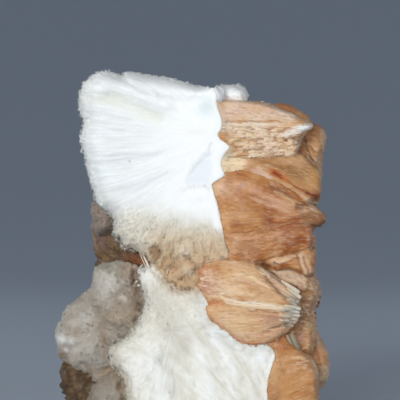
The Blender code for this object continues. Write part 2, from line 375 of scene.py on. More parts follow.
def rounded(loop, times=2):
    """A closed line with its corners cut off."""
    loop = np.array(loop, float)
    for _ in range(times):
        after = np.roll(loop, -1, axis=0)
        loop = np.stack(
            [loop * 0.78 + after * 0.22, loop * 0.22 + after * 0.78], axis=1
        ).reshape(-1, 2)
    return loop


def spaced(loop, count, weight=None):
    """The closed line as count points, evenly spaced, or closer together
    where weight(u, v) is larger."""
    loop = np.vstack([loop, loop[:1]])
    dense = np.concatenate(
        [np.linspace(a, b, 24, endpoint=False) for a, b in zip(loop, loop[1:])]
    )
    dense = np.vstack([dense, dense[:1]])
    step = np.linalg.norm(np.diff(dense, axis=0), axis=1)
    if weight is not None:
        step = step * weight(dense[:-1, 0], dense[:-1, 1])
    along = np.concatenate([[0.0], np.cumsum(step)])
    wanted = np.linspace(0.0, along[-1], count, endpoint=False)
    return np.stack(
        [np.interp(wanted, along, dense[:, k]) for k in (0, 1)], axis=-1
    )


def to_line(u, v, line, closed=False):
    """The distance from each point to a line, and how far along the line
    its nearest place is, from 0 to 1."""
    line = np.array(line, float)
    if closed:
        line = np.vstack([line, line[:1]])
    step = np.linalg.norm(np.diff(line, axis=0), axis=1)
    total = step.sum()
    best = np.full(np.shape(u), 1e9)
    along = np.zeros(np.shape(u))
    done = 0.0
    for a, b, length in zip(line, line[1:], step):
        if length < 1e-9:
            continue
        eu, ev = (b - a) / length
        x = np.clip((u - a[0]) * eu + (v - a[1]) * ev, 0.0, length)
        gap = np.hypot(u - a[0] - x * eu, v - a[1] - x * ev)
        nearer = gap < best
        best = np.where(nearer, gap, best)
        along = np.where(nearer, (done + x) / total, along)
        done += length
    return best, along


def stroke(u, v, width, *line, fade=0.25):
    """How strongly each point lies on a brush stroke, from 0 to 1."""
    gap, along = to_line(u, v, line)
    ends = 1.0
    if fade:
        ends = rise(along, -0.001, fade) * rise(1.0 - along, -0.001, fade)
    return np.exp(-((gap / width) ** 2)) * ends


def spot(u, v, u0, v0, size, tall=None):
    """A soft round spot."""
    tall = tall or size
    return np.exp(-(((u - u0) / size) ** 2) - ((v - v0) / tall) ** 2)


# ------------------------------------------------------------------- features
# A mark is one visible feature of a face: how far it stands out in
# millimetres, its colour, how strongly it is coloured, and where it is.


def plate(height, colour, share, soft, *corners):
    """A flat patch with corners, whose border is soft units wide."""
    return ("plate", corners, soft, height, colour, share)


def line(height, colour, share, width, *points):
    """A ridge, crack or streak along a line."""
    return ("line", points, width, height, colour, share)


def dab(height, colour, share, u, v, wide, tall):
    """A round patch."""
    return ("dab", (u, v), (wide, tall), height, colour, share)


def within(u, v, corners, soft):
    """1 inside a many-sided shape, 0 outside it, with a soft border."""
    corners = np.array(corners, float)
    inside = np.zeros(np.shape(u), bool)
    for (au, av), (bu, bv) in zip(corners, np.roll(corners, -1, axis=0)):
        if av == bv:
            continue
        crosses = (av > v) != (bv > v)
        inside ^= crosses & (u < au + (v - av) * (bu - au) / (bv - av))
    gap, _ = to_line(u, v, corners, closed=True)
    return rise(np.where(inside, gap, -gap), -soft, soft)


def draw(u, v, marks):
    """How far the marks stand out at each point, and their coats of colour."""
    lift, coats = np.zeros(np.shape(u)), []
    for kind, shape, size, height, colour, share in marks:
        if kind == "plate":
            mask = within(u, v, shape, size)
        elif kind == "line":
            mask = stroke(u, v, size, *shape, fade=0.15)
        else:
            mask = spot(u, v, *shape, *size)
        lift = lift + height * mask
        if colour is not None:
            coats.append((colour, share * mask))
    return lift, coats


def strayed(u, v, seed, size=6.0, amount=1.0):
    """The points moved about a little, so that no drawn border is clean."""
    spots = np.stack([u / size, v / size, 0.0 * u + 7.3 * seed], axis=-1)
    fine = spots * 3.1
    return (
        u + amount * (noise(spots, 3) + 0.45 * noise(fine, 4)),
        v + amount * (noise(spots, 5) + 0.45 * noise(fine, 6)),
    )


class Flow:
    """The way the plates of a sheaf run, from guide lines listed from its
    top to its bottom, each from left to right."""

    def __init__(self, *guides):
        guides = [np.array(g, float) for g in guides]
        self.u = np.linspace(
            min(g[0, 0] for g in guides), max(g[-1, 0] for g in guides), 80
        )
        self.v = [np.interp(self.u, g[:, 0], g[:, 1]) for g in guides]
        self.level = [0.0]
        for above, below in zip(self.v, self.v[1:]):
            self.level.append(self.level[-1] + float((below - above).max()))

    def across(self, u, v):
        """Which plate each point belongs to: a number that rises from the
        top guide to the bottom one."""
        rows = [np.interp(u, self.u, row) for row in self.v]
        out = None
        for k in range(len(rows) - 1):
            gap = np.maximum(rows[k + 1] - rows[k], 0.5)
            here = self.level[k] + (v - rows[k]) / gap * (
                self.level[k + 1] - self.level[k]
            )
            out = here if out is None else np.where(v >= rows[k], here, out)
        return out


# ---------------------------------------------------------------------- bodies


def unfolded(loop, centre):
    """The closed line, turned a little about the centre wherever two lines
    from the centre to it would cross."""
    away = loop - centre
    angle = np.unwrap(np.arctan2(away[:, 1], away[:, 0]))
    sign = 1.0 if angle[-1] > angle[0] else -1.0
    angle = angle * sign
    count = len(loop)
    turn = 2.0 * math.pi
    three = np.concatenate([angle - turn, angle, angle + turn])
    least = 0.12 * turn / count * np.arange(3 * count)
    up = np.maximum.accumulate(three - least)
    down = np.minimum.accumulate((three - least)[::-1])[::-1]
    angle = (0.5 * (up + down) + least)[count:2 * count] * sign
    size = np.linalg.norm(away, axis=1)
    return centre + np.stack(
        [size * np.cos(angle), size * np.sin(angle)], axis=1
    )


class Body:
    """A closed skin on lines that run from a centre to an outline and back.

    rays is the number of lines. Rings 0 to front - 1 lie on the near side,
    ring front - 1 is the outline, and the other rings lie on the far side.
    """

    def __init__(self, outline, centre, depths, rays, front, back, square=2.6,
                 lean=(0.0, 0.0), middle=None, radius=None, edge=None,
                 surface=None, crinkle=0.0, crinkle_size=6.0, seed=1,
                 power=1.3, far_centre=None, weight=None):
        near, edge_y, far = depths
        loop = spaced(rounded(outline), rays, weight)
        if crinkle:
            ahead = np.roll(loop, -1, axis=0) - np.roll(loop, 1, axis=0)
            ahead /= np.linalg.norm(ahead, axis=1)[:, None]
            outward = np.stack([ahead[:, 1], -ahead[:, 0]], axis=1)
            spots = np.stack(
                [loop[:, 0], loop[:, 1], np.zeros(rays)], axis=1
            ) / crinkle_size
            amount = crinkle(loop[:, 0], loop[:, 1]) if callable(crinkle) \
                else crinkle
            shift = clouds(spots, seed, 4, 0.75) * amount
            loop = loop + outward * shift[:, None]
        loop = unfolded(loop, np.array(centre, float))
        self.rays, self.front, self.back = rays, front, back

        x = (np.arange(front) + 1.0) / front
        t_near = 1.0 - (1.0 - x) ** power
        x = (np.arange(back) + 1.0) / (back + 1.0)
        t_far = 1.0 - x ** 1.3
        self.t = np.broadcast_to(
            np.concatenate([t_near, t_far]), (rays, front + back)
        )
        self.is_far = np.broadcast_to(
            np.arange(front + back) >= front, self.t.shape
        )
        self.near = ~self.is_far
        self.centre = np.array(centre, float)
        far_centre = np.array(far_centre or middle or centre, float)
        start = np.where(self.is_far[..., None], far_centre, self.centre)
        at = start + (loop[:, None, :] - start) * self.t[..., None]
        self.u, self.v = at[..., 0], at[..., 1]
        self.r = np.hypot(self.u - self.centre[0], self.v - self.centre[1])
        self.angle = np.arctan2(
            -(loop[:, 1] - self.centre[1]), loop[:, 0] - self.centre[0]
        )[:, None] + 0.0 * self.t

        self.d, _ = to_line(
            self.u, self.v, rounded(outline, 1), closed=True
        )
        self.d = np.where(self.t >= 1.0, 0.0, self.d)
        widest = float(self.d.max())
        reach = radius(self.u, self.v) if callable(radius) else (
            radius or widest
        )
        share = 1.0 - np.clip(self.d / reach, 0.0, 1.0)
        swell = np.clip(1.0 - share**square, 0.0, 1.0) ** (1.0 / square)
        far_share = 1.0 - np.clip(self.d / (1.1 * widest), 0.0, 1.0)
        far_swell = np.clip(1.0 - far_share**square, 0, 1) ** (1.0 / square)
        middle = middle or centre
        y_near = near + 0.0 * self.u
        if surface is not None:
            y_near = y_near + surface(self.u, self.v)
        y_edge = edge(self.u, self.v) if edge is not None else edge_y
        self.y = (
            lean[0] * (self.u - middle[0]) + lean[1] * (self.v - middle[1])
        ) / 100.0 + np.where(
            self.is_far,
            y_edge + (far - y_edge) * far_swell,
            y_edge + (y_near - y_edge) * swell,
        )
        self.swell = np.where(self.is_far, far_swell, swell)
        # Where each point lies among the crystals: two numbers across them
        # and one along them.
        self.fibre = np.stack(
            [
                60.0 * np.cos(self.angle),
                60.0 * np.sin(self.angle) + 200.0 * self.is_far,
                self.r,
            ],
            axis=-1,
        )
        # Near the centre the lines lie too close together to carry relief.
        self.calm = rise(self.r, 1.0, 12.0)
        self.points = place(self.u, self.v, self.y)
        self.free = np.ones(self.t.shape)
        self.find_normals()

    def follow(self, flow, depth_scale=3.0):
        """Lays the crystals along the guide lines of a flow."""
        self.fibre = np.stack(
            [flow.across(self.u, self.v), self.y * depth_scale, self.u],
            axis=-1,
        )
        self.calm = np.ones(self.t.shape)

    def find_normals(self):
        p = self.points
        around = np.roll(p, -1, axis=0) - np.roll(p, 1, axis=0)
        outward = np.gradient(p, axis=1)
        normal = np.cross(around, outward)
        length = np.linalg.norm(normal, axis=-1, keepdims=True)
        self.normal = normal / np.maximum(length, 1e-15)
        length = np.linalg.norm(outward, axis=-1, keepdims=True)
        self.outward = outward / np.maximum(length, 1e-15)

    def lift(self, amount):
        """Moves the skin outwards by so many millimetres."""
        self.points = self.points + self.normal * (
            np.asarray(amount) * MM * self.free
        )[..., None]

    def settle(self):
        """Closes the base cut and works the normals out again."""
        self.points = self.points.copy()
        self.points[..., 2] = np.maximum(self.points[..., 2], 0.0)
        self.find_normals()

    def here(self, size, tall=1.0):
        """Noise coordinates for blotches of so many units."""
        return np.stack(
            [self.u, self.v / tall, self.y * 3.0], axis=-1
        ) / size

    def grain(self, across, along):
        """Noise coordinates for streaks along the crystals."""
        return self.fibre / np.array([across, across, along])

    def pick(self, rng, count, mask):
        """Random places on the skin, more where mask is larger."""
        p = self.points
        area = np.linalg.norm(
            np.cross(
                np.roll(p, -1, axis=0) - p, np.gradient(p, axis=1)
            ),
            axis=-1,
        )
        weight = (area * mask).ravel()
        weight = weight / weight.sum()
        at = rng.choice(weight.size, size=count, p=weight)
        i, j = np.unravel_index(at, self.t.shape)
        k = np.minimum(j + 1, self.t.shape[1] - 1)
        i2 = (i + 1) % self.rays
        a, b = rng.random(count)[:, None], rng.random(count)[:, None]
        point = (
            (p[i, j] * (1 - a) + p[i2, j] * a) * (1 - b)
            + (p[i, k] * (1 - a) + p[i2, k] * a) * b
        )
        return i, j, point


FRONTS = {}
LOW, SIZE = (30, 50), (330, 430)


def evened(field):
    """The field averaged over three by three places."""
    for axis in (0, 1):
        field = (
            field + np.roll(field, 1, axis=axis) + np.roll(field, -1, axis)
        ) / 3.0
    return field


def keep_front(name, body, outline):
    """Notes how near the front of a piece lies, for the pieces behind it."""
    at_u = np.clip(np.rint(body.u[body.near]) - LOW[0], 0, SIZE[0] - 1)
    at_v = np.clip(np.rint(body.v[body.near]) - LOW[1], 0, SIZE[1] - 1)
    cell = (at_u * SIZE[1] + at_v).astype(int)
    depth = body.points[..., 1][body.near] / MM
    places = SIZE[0] * SIZE[1]
    count = np.bincount(cell, minlength=places).reshape(SIZE)
    total = np.bincount(cell, weights=depth, minlength=places).reshape(SIZE)
    depth = total / np.maximum(count, 1)
    known = count > 0
    for _ in range(14):
        share = evened(known * 1.0)
        grown = evened(depth * known) / np.maximum(share, 1e-6)
        new = ~known & (share > 1e-3)
        depth = np.where(new, grown, depth)
        known = known | new
    FRONTS[name] = (evened(depth), rounded(outline, 1))


def tuck_under(body, names, reach=8.0, gap=0.3):
    """Bends a piece so that it meets the pieces in front of it without a
    step, and lies just behind them where they cover it."""
    u, v = body.u, body.v
    y = body.y.copy()
    for name in names:
        field, outline = FRONTS[name]
        x = np.clip(u - LOW[0], 0.0, SIZE[0] - 1.001)
        z = np.clip(v - LOW[1], 0.0, SIZE[1] - 1.001)
        i, j = np.floor(x).astype(int), np.floor(z).astype(int)
        a, b = x - i, z - j
        depth = gap + (
            field[i, j] * (1 - a) * (1 - b) + field[i + 1, j] * a * (1 - b)
            + field[i, j + 1] * (1 - a) * b + field[i + 1, j + 1] * a * b
        )
        away, _ = to_line(u, v, outline, closed=True)
        inside = within(u, v, outline, 0.01) > 0.5
        away = np.where(inside, -away, away)
        depth = depth + 0.9 * rise(-away, 1.0, 4.0)
        y = y + (depth - y) * (1.0 - rise(away, 0.0, reach))
        covered = 1.0 - rise(away, -2.5, 0.0)
        body.free = body.free * (1.0 - covered * body.near)
    moved = (y - body.y)[:, body.front - 1]
    body.y = np.where(
        body.is_far, body.y + moved[:, None] * (1.0 - body.swell), y
    )
    body.points = place(u, v, body.y)
    body.find_normals()

def blurred(field, across, along=0):
    """The field averaged over its neighbours."""
    total = field.copy()
    for k in range(1, across + 1):
        total = total + np.roll(field, k, axis=0) + np.roll(field, -k, axis=0)
    out = total / (2 * across + 1)
    if along:
        padded = np.pad(out, ((0, 0), (along, along)), mode="edge")
        out = sum(
            padded[:, k:k + field.shape[1]] for k in range(2 * along + 1)
        ) / (2 * along + 1)
    return out


class Skin:
    """Collects the points and faces of one piece, with their colours."""

    def __init__(self):
        self.points, self.tints, self.fibres = [], [], []
        self.strengths = []
        self.quads, self.tris = [], []
        self.count = 0

    def add(self, points, tints, fibres, quads=None, tris=None,
            strength=0.6):
        """strength is how plainly the fine streaks and grit show."""
        self.points.append(points.reshape(-1, 3))
        self.strengths.append(
            np.broadcast_to(strength, points.shape[:-1]).reshape(-1)
        )
        self.tints.append(
            np.broadcast_to(tints, points.shape).reshape(-1, 3)
        )
        self.fibres.append(fibres.reshape(-1, 3))
        if quads is not None:
            self.quads.append(quads + self.count)
        if tris is not None:
            self.tris.append(tris + self.count)
        self.count += points.reshape(-1, 3).shape[0]

    def add_body(self, body, tint, strength=0.6):
        rays, rings = body.t.shape
        near = body.points[:, 0].mean(axis=0)
        far = body.points[:, -1].mean(axis=0)
        points = np.vstack([body.points.reshape(-1, 3), near, far])
        tints = np.vstack(
            [tint.reshape(-1, 3), tint[:, 0].mean(axis=0),
             tint[:, -1].mean(axis=0)]
        )
        fibres = np.vstack(
            [body.fibre.reshape(-1, 3), body.fibre[:, 0].mean(axis=0),
             body.fibre[:, -1].mean(axis=0)]
        )
        at = np.arange(rays * rings).reshape(rays, rings)
        after = np.roll(at, -1, axis=0)
        quads = np.stack(
            [at[:, :-1], after[:, :-1], after[:, 1:], at[:, 1:]], axis=-1
        ).reshape(-1, 4)
        near_at, far_at = rays * rings, rays * rings + 1
        tris = np.vstack([
            np.stack([np.full(rays, near_at), after[:, 0], at[:, 0]], axis=-1),
            np.stack([at[:, -1], after[:, -1], np.full(rays, far_at)],
                     axis=-1),
        ])
        strength = np.broadcast_to(strength, (rays, rings)).reshape(-1)
        strength = np.append(strength, [0.5, 0.5])
        self.add(points, tints, fibres, quads, tris, strength)

    def add_needles(self, rng, base, ahead, length, width, root, tip):
        """Slim three-sided needles. base is in metres, length and width in
        drawing units, ahead the directions they point in."""
        count = len(base)
        ahead = ahead / np.linalg.norm(ahead, axis=1, keepdims=True)
        side = np.cross(ahead, rng.normal(size=(count, 3)))
        side /= np.maximum(np.linalg.norm(side, axis=1, keepdims=True), 1e-9)
        other = np.cross(ahead, side)
        length = (np.broadcast_to(length, count) * UNIT)[:, None]
        width = (np.broadcast_to(width, count) * UNIT)[:, None]
        foot = base - ahead * length * 0.15
        ring = [
            foot + width * 0.5 * (
                math.cos(a) * side + math.sin(a) * other
            ) for a in (0.0, 2.0944, 4.1888)
        ]
        points = np.stack([*ring, base + ahead * length], axis=1)
        root = np.broadcast_to(root, (count, 3))
        tip = np.broadcast_to(tip, (count, 3))
        tints = np.stack([root, root, root, tip], axis=1)
        fibres = np.repeat((base / UNIT)[:, None, :], 4, axis=1)
        at = (np.arange(count) * 4)[:, None]
        tris = np.vstack([
            at + np.array([0, 1, 3]), at + np.array([1, 2, 3]),
            at + np.array([2, 0, 3]), at + np.array([0, 2, 1]),
        ])
        self.add(points, tints, fibres, tris=tris)

    def add_frost(self, rng, body, tint, count, mask, length, width=(0.7, 1.3),
                  out=0.5, face=0.6, down=0.0, scatter=0.7, root=0.97,
                  tips=None, tip_share=0.35):
        """Needles that stand on a body: out along its lines, face along its
        normals, down towards the base, and scattered."""
        i, j, at = body.pick(rng, count, mask)
        outward = body.outward[i, j] * np.where(
            body.is_far[i, j], -1.0, 1.0)[:, None]
        ahead = (
            out * outward + face * body.normal[i, j]
            + down * np.array([0.0, 0.0, -1.0])
            + scatter * rng.normal(size=(count, 3))
        )
        # None points back into the body.
        inward = np.minimum((ahead * body.normal[i, j]).sum(axis=1), 0.0)
        ahead = ahead - 1.5 * inward[:, None] * body.normal[i, j]
        here = tint[i, j]
        tips = PEARL if tips is None else tips
        share = tip_share * (0.4 + 0.6 * rng.random((count, 1)))
        self.add_needles(
            rng, at, ahead, rng.uniform(*length, count),
            rng.uniform(*width, count), here * root,
            here * (1.0 - share) + tips * share,
        )

    def add_tufts(self, rng, body, tint, tufts, each, mask, length,
                  width=(0.5, 0.9), spread=0.8, down=0.0, root=1.0,
                  tips=None, tip_share=0.4):
        """Small bursts of needles, each from one place on a body."""
        i, j, at = body.pick(rng, tufts, mask)
        i, j = np.repeat(i, each), np.repeat(j, each)
        size = np.repeat(rng.uniform(0.6, 1.2, tufts), each)
        bright = np.repeat(rng.uniform(0.3, 1.0, tufts), each)[:, None]
        at = np.repeat(at, each, axis=0)
        count = len(at)
        ahead = (
            body.normal[i, j] + down * np.array([0.0, 0.0, -1.0])
            + spread * rng.normal(size=(count, 3))
        )
        inward = np.minimum((ahead * body.normal[i, j]).sum(axis=1), 0.0)
        ahead = ahead - 1.6 * inward[:, None] * body.normal[i, j]
        at = at - body.normal[i, j] * UNIT * 0.3
        here = tint[i, j]
        tips = PEARL if tips is None else tips
        share = tip_share * bright
        self.add_needles(
            rng, at, ahead, rng.uniform(*length, count) * size,
            rng.uniform(*width, count), here * root,
            here * (1.0 - share) + tips * share,
        )

    def add_blades(self, rows):
        """Single long crystals, each from a row of (u, v, y, width,
        u, v, y, width, thickness, root colour, tip colour). They are
        grooved along their length and end in a blunt wedge."""
        for u0, v0, y0, w0, u1, v1, y1, w1, thick, root, tip in rows:
            a = place(u0, v0, y0)
            b = place(u1, v1, y1)
            ahead = (b - a) / np.linalg.norm(b - a)
            side = np.cross(ahead, np.array([0.0, -1.0, 0.0]))
            side /= np.linalg.norm(side)
            up = np.cross(side, ahead)
            around = 2 * math.pi * (np.arange(10) + 0.5) / 10
            groove = np.where(np.arange(10) % 2 == 0, 1.0, 0.8)
            rings, tints = [], []
            for x, size in ((0.0, 0.55), (0.12, 0.9), (0.4, 1.0), (0.7, 1.0),
                            (0.93, 0.92), (1.0, 0.45)):
                wide = (w0 + (w1 - w0) * x) * size * UNIT * 0.5
                deep = thick * size * UNIT * 0.5
                rings.append(
                    a + (b - a) * x
                    + (np.cos(around) * groove)[:, None] * wide * side
                    + (np.sin(around) * groove)[:, None] * deep * up
                )
                tints.append(
                    np.tile(root * (1.0 - x) + tip * x, (10, 1))
                    * (0.9 + 0.1 * groove)[:, None]
                )
            points = np.array(rings)
            fibres = (points / UNIT).copy()
            k = len(rings)
            at = np.arange(k * 10).reshape(k, 10)
            after = np.roll(at, -1, axis=1)
            quads = np.stack(
                [at[:-1], at[1:], after[1:], after[:-1]], axis=-1
            ).reshape(-1, 4)
            last = (k - 1) * 10
            caps = [[0, n, n + 1] for n in range(1, 9)] + [
                [last, last + n + 1, last + n] for n in range(1, 9)
            ]
            self.add(points, np.array(tints), fibres, quads, np.array(caps))

    def add_shards(self, base, ahead, up, length, width, thick, tint,
                   chisel=0.6):
        """Flat four-sided crystals with a chisel end. base is in metres, the
        sizes in drawing units, ahead and up are directions."""
        count = len(base)
        ahead = ahead / np.linalg.norm(ahead, axis=1, keepdims=True)
        side = np.cross(ahead, up)
        side /= np.maximum(np.linalg.norm(side, axis=1, keepdims=True), 1e-9)
        up = np.cross(side, ahead)
        length = (np.broadcast_to(length, count) * UNIT)[:, None]
        w = (np.broadcast_to(width, count) * UNIT * 0.5)[:, None]
        h = (np.broadcast_to(thick, count) * UNIT * 0.5)[:, None]
        end = base + ahead * length
        shoulder = end - ahead * np.minimum(w * 2.0 * chisel, length * 0.5)
        points = np.stack([
            base - side * w - up * h, base + side * w - up * h,
            base + side * w + up * h, base - side * w + up * h,
            shoulder - side * w - up * h, shoulder + side * w - up * h,
            shoulder + side * w + up * h, shoulder - side * w + up * h,
            end - up * h * 0.9, end + up * h * 0.9,
        ], axis=1)
        tints = np.repeat(
            np.broadcast_to(tint, (count, 3))[:, None, :], 10, axis=1
        )
        fibres = np.repeat((base / UNIT)[:, None, :], 10, axis=1).copy()
        fibres[:, 4:, 2] += 20.0
        fibres[:, [1, 2, 5, 6], 0] += 3.0
        at = (np.arange(count) * 10)[:, None]
        quads = np.vstack([
            at + np.array(q) for q in (
                [3, 2, 1, 0], [0, 1, 5, 4], [1, 2, 6, 5], [2, 3, 7, 6],
                [3, 0, 4, 7], [5, 6, 9, 8], [7, 4, 8, 9],
            )
        ])
        tris = np.vstack([
            at + np.array(q) for q in ([4, 5, 8], [6, 7, 9])
        ])
        self.add(points, tints, fibres, quads, tris)

    def make(self, name, material, node, sharp=None):
        points = np.vstack(self.points)
        points[:, 2] = np.maximum(points[:, 2], 0.0)
        quads = np.vstack(self.quads) if self.quads else np.zeros((0, 4), int)
        tris = np.vstack(self.tris) if self.tris else np.zeros((0, 3), int)
        mesh = bpy.data.meshes.new(name)
        mesh.vertices.add(len(points))
        mesh.vertices.foreach_set("co", points.astype(np.float32).ravel())
        corners = np.concatenate([quads.ravel(), tris.ravel()])
        starts = np.concatenate([
            np.arange(len(quads)) * 4,
            len(quads) * 4 + np.arange(len(tris)) * 3,
        ])
        mesh.loops.add(len(corners))
        mesh.loops.foreach_set("vertex_index", corners.astype(np.int32))
        mesh.polygons.add(len(starts))
        mesh.polygons.foreach_set("loop_start", starts.astype(np.int32))
        mesh.update(calc_edges=True)
        tint = mesh.attributes.new("tint", "FLOAT_COLOR", "POINT")
        colours = np.hstack([
            np.vstack(self.tints), np.concatenate(self.strengths)[:, None],
        ])
        tint.data.foreach_set(
            "color", np.clip(colours, 0.0, 1.0).astype(np.float32).ravel()
        )
        fibre = mesh.attributes.new("fibre", "FLOAT_VECTOR", "POINT")
        fibre.data.foreach_set(
            "vector", np.vstack(self.fibres).astype(np.float32).ravel()
        )
        mesh.materials.append(material)
        mesh.shade_smooth()
        if sharp:
            mesh.set_sharp_from_angle(angle=math.radians(sharp))
        mesh.validate()
        piece = bpy.data.objects.new(name, mesh)
        bpy.context.scene.collection.objects.link(piece)
        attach(piece, "root")
        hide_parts(node)
        return piece


# ------------------------------------------------------------------- materials


def crystal_material(name, contrast, roughness, glow, glow_radius, glow_depth,
                     streak, bump, grit, specular=0.5, coat=0.0):
    """A finish whose colour is the skin's own tint, broken up by fine streaks
    along the crystals and by a fine grit."""
    material = bpy.data.materials.new(name)
    material.use_nodes = True
    nodes, links = material.node_tree.nodes, material.node_tree.links
    shader = nodes["Principled BSDF"]
    shader.subsurface_method = "RANDOM_WALK"
    shader.inputs["Subsurface Weight"].default_value = glow
    shader.inputs["Subsurface Radius"].default_value = glow_radius
    shader.inputs["Subsurface Scale"].default_value = glow_depth
    shader.inputs["Specular IOR Level"].default_value = specular
    shader.inputs["IOR"].default_value = 1.5
    shader.inputs["Coat Weight"].default_value = coat
    shader.inputs["Coat Roughness"].default_value = 0.25

    tint = nodes.new("ShaderNodeAttribute")
    tint.attribute_name = "tint"
    fibre = nodes.new("ShaderNodeAttribute")
    fibre.attribute_name = "fibre"

    stretch = nodes.new("ShaderNodeMapping")
    stretch.inputs["Scale"].default_value = streak
    links.new(fibre.outputs["Vector"], stretch.inputs["Vector"])
    streaks = nodes.new("ShaderNodeTexNoise")
    streaks.inputs["Scale"].default_value = 1.0
    streaks.inputs["Detail"].default_value = 4.0
    streaks.inputs["Roughness"].default_value = 0.65
    links.new(stretch.outputs["Vector"], streaks.inputs["Vector"])

    place_at = nodes.new("ShaderNodeTexCoord")
    grains = nodes.new("ShaderNodeTexNoise")
    grains.inputs["Scale"].default_value = grit
    grains.inputs["Detail"].default_value = 5.0
    grains.inputs["Roughness"].default_value = 0.6
    links.new(place_at.outputs["Object"], grains.inputs["Vector"])

    shade = nodes.new("ShaderNodeMapRange")
    shade.inputs["From Min"].default_value = 0.3
    shade.inputs["From Max"].default_value = 0.7
    shade.inputs["To Min"].default_value = 1.0 - contrast
    shade.inputs["To Max"].default_value = 1.0 + contrast * 0.6
    links.new(streaks.outputs["Fac"], shade.inputs["Value"])
    shade2 = nodes.new("ShaderNodeMapRange")
    shade2.inputs["From Min"].default_value = 0.3
    shade2.inputs["From Max"].default_value = 0.7
    shade2.inputs["To Min"].default_value = 1.0 - contrast * 0.7
    shade2.inputs["To Max"].default_value = 1.0 + contrast * 0.5
    links.new(grains.outputs["Fac"], shade2.inputs["Value"])
    both = nodes.new("ShaderNodeMath")
    both.operation = "MULTIPLY"
    links.new(shade.outputs["Result"], both.inputs[0])
    links.new(shade2.outputs["Result"], both.inputs[1])
    change = nodes.new("ShaderNodeMath")
    change.operation = "SUBTRACT"
    change.inputs[1].default_value = 1.0
    links.new(both.outputs["Value"], change.inputs[0])
    faded = nodes.new("ShaderNodeMath")
    faded.operation = "MULTIPLY_ADD"
    faded.inputs[2].default_value = 1.0
    links.new(change.outputs["Value"], faded.inputs[0])
    links.new(tint.outputs["Alpha"], faded.inputs[1])
    paint = nodes.new("ShaderNodeVectorMath")
    paint.operation = "SCALE"
    links.new(tint.outputs["Color"], paint.inputs[0])
    links.new(faded.outputs["Value"], paint.inputs["Scale"])
    links.new(paint.outputs["Vector"], shader.inputs["Base Color"])

    rough = nodes.new("ShaderNodeMapRange")
    rough.inputs["To Min"].default_value = roughness - 0.12
    rough.inputs["To Max"].default_value = roughness + 0.12
    links.new(grains.outputs["Fac"], rough.inputs["Value"])
    links.new(rough.outputs["Result"], shader.inputs["Roughness"])

    height = nodes.new("ShaderNodeMath")
    height.operation = "ADD"
    links.new(streaks.outputs["Fac"], height.inputs[0])
    links.new(grains.outputs["Fac"], height.inputs[1])
    relief = nodes.new("ShaderNodeBump")
    relief.inputs["Strength"].default_value = bump
    relief.inputs["Distance"].default_value = 0.00025
    links.new(height.outputs["Value"], relief.inputs["Height"])
    links.new(relief.outputs["Normal"], shader.inputs["Normal"])
    return material


SILKY = crystal_material(
    "silky_scolecite", contrast=0.08, roughness=0.62, glow=0.6,
    glow_radius=(1.0, 0.97, 0.93), glow_depth=0.0010, streak=(1.0, 1.0, 0.07),
    bump=0.2, grit=1700.0, specular=0.3,
)
CLEAR = crystal_material(
    "clear_scolecite", contrast=0.14, roughness=0.6, glow=0.9,
    glow_radius=(1.0, 0.92, 0.84), glow_depth=0.0030, streak=(0.9, 0.9, 0.4),
    bump=0.25, grit=1900.0, specular=0.25,
)
PEARLY = crystal_material(
    "pearly_stilbite", contrast=0.18, roughness=0.45, glow=0.7,
    glow_radius=(1.0, 0.66, 0.42), glow_depth=0.0016, streak=(1.2, 1.2, 0.15),
    bump=0.35, grit=1900.0, specular=0.25, coat=0.03,
)
MATRIX_LOOK = crystal_material(
    "brown_matrix", contrast=0.5, roughness=0.6, glow=0.35,
    glow_radius=(1.0, 0.65, 0.45), glow_depth=0.0010, streak=(0.7, 0.7, 0.3),
    bump=0.5, grit=2000.0, specular=0.3,
)

# ------------------------------------------------------------------ scolecite


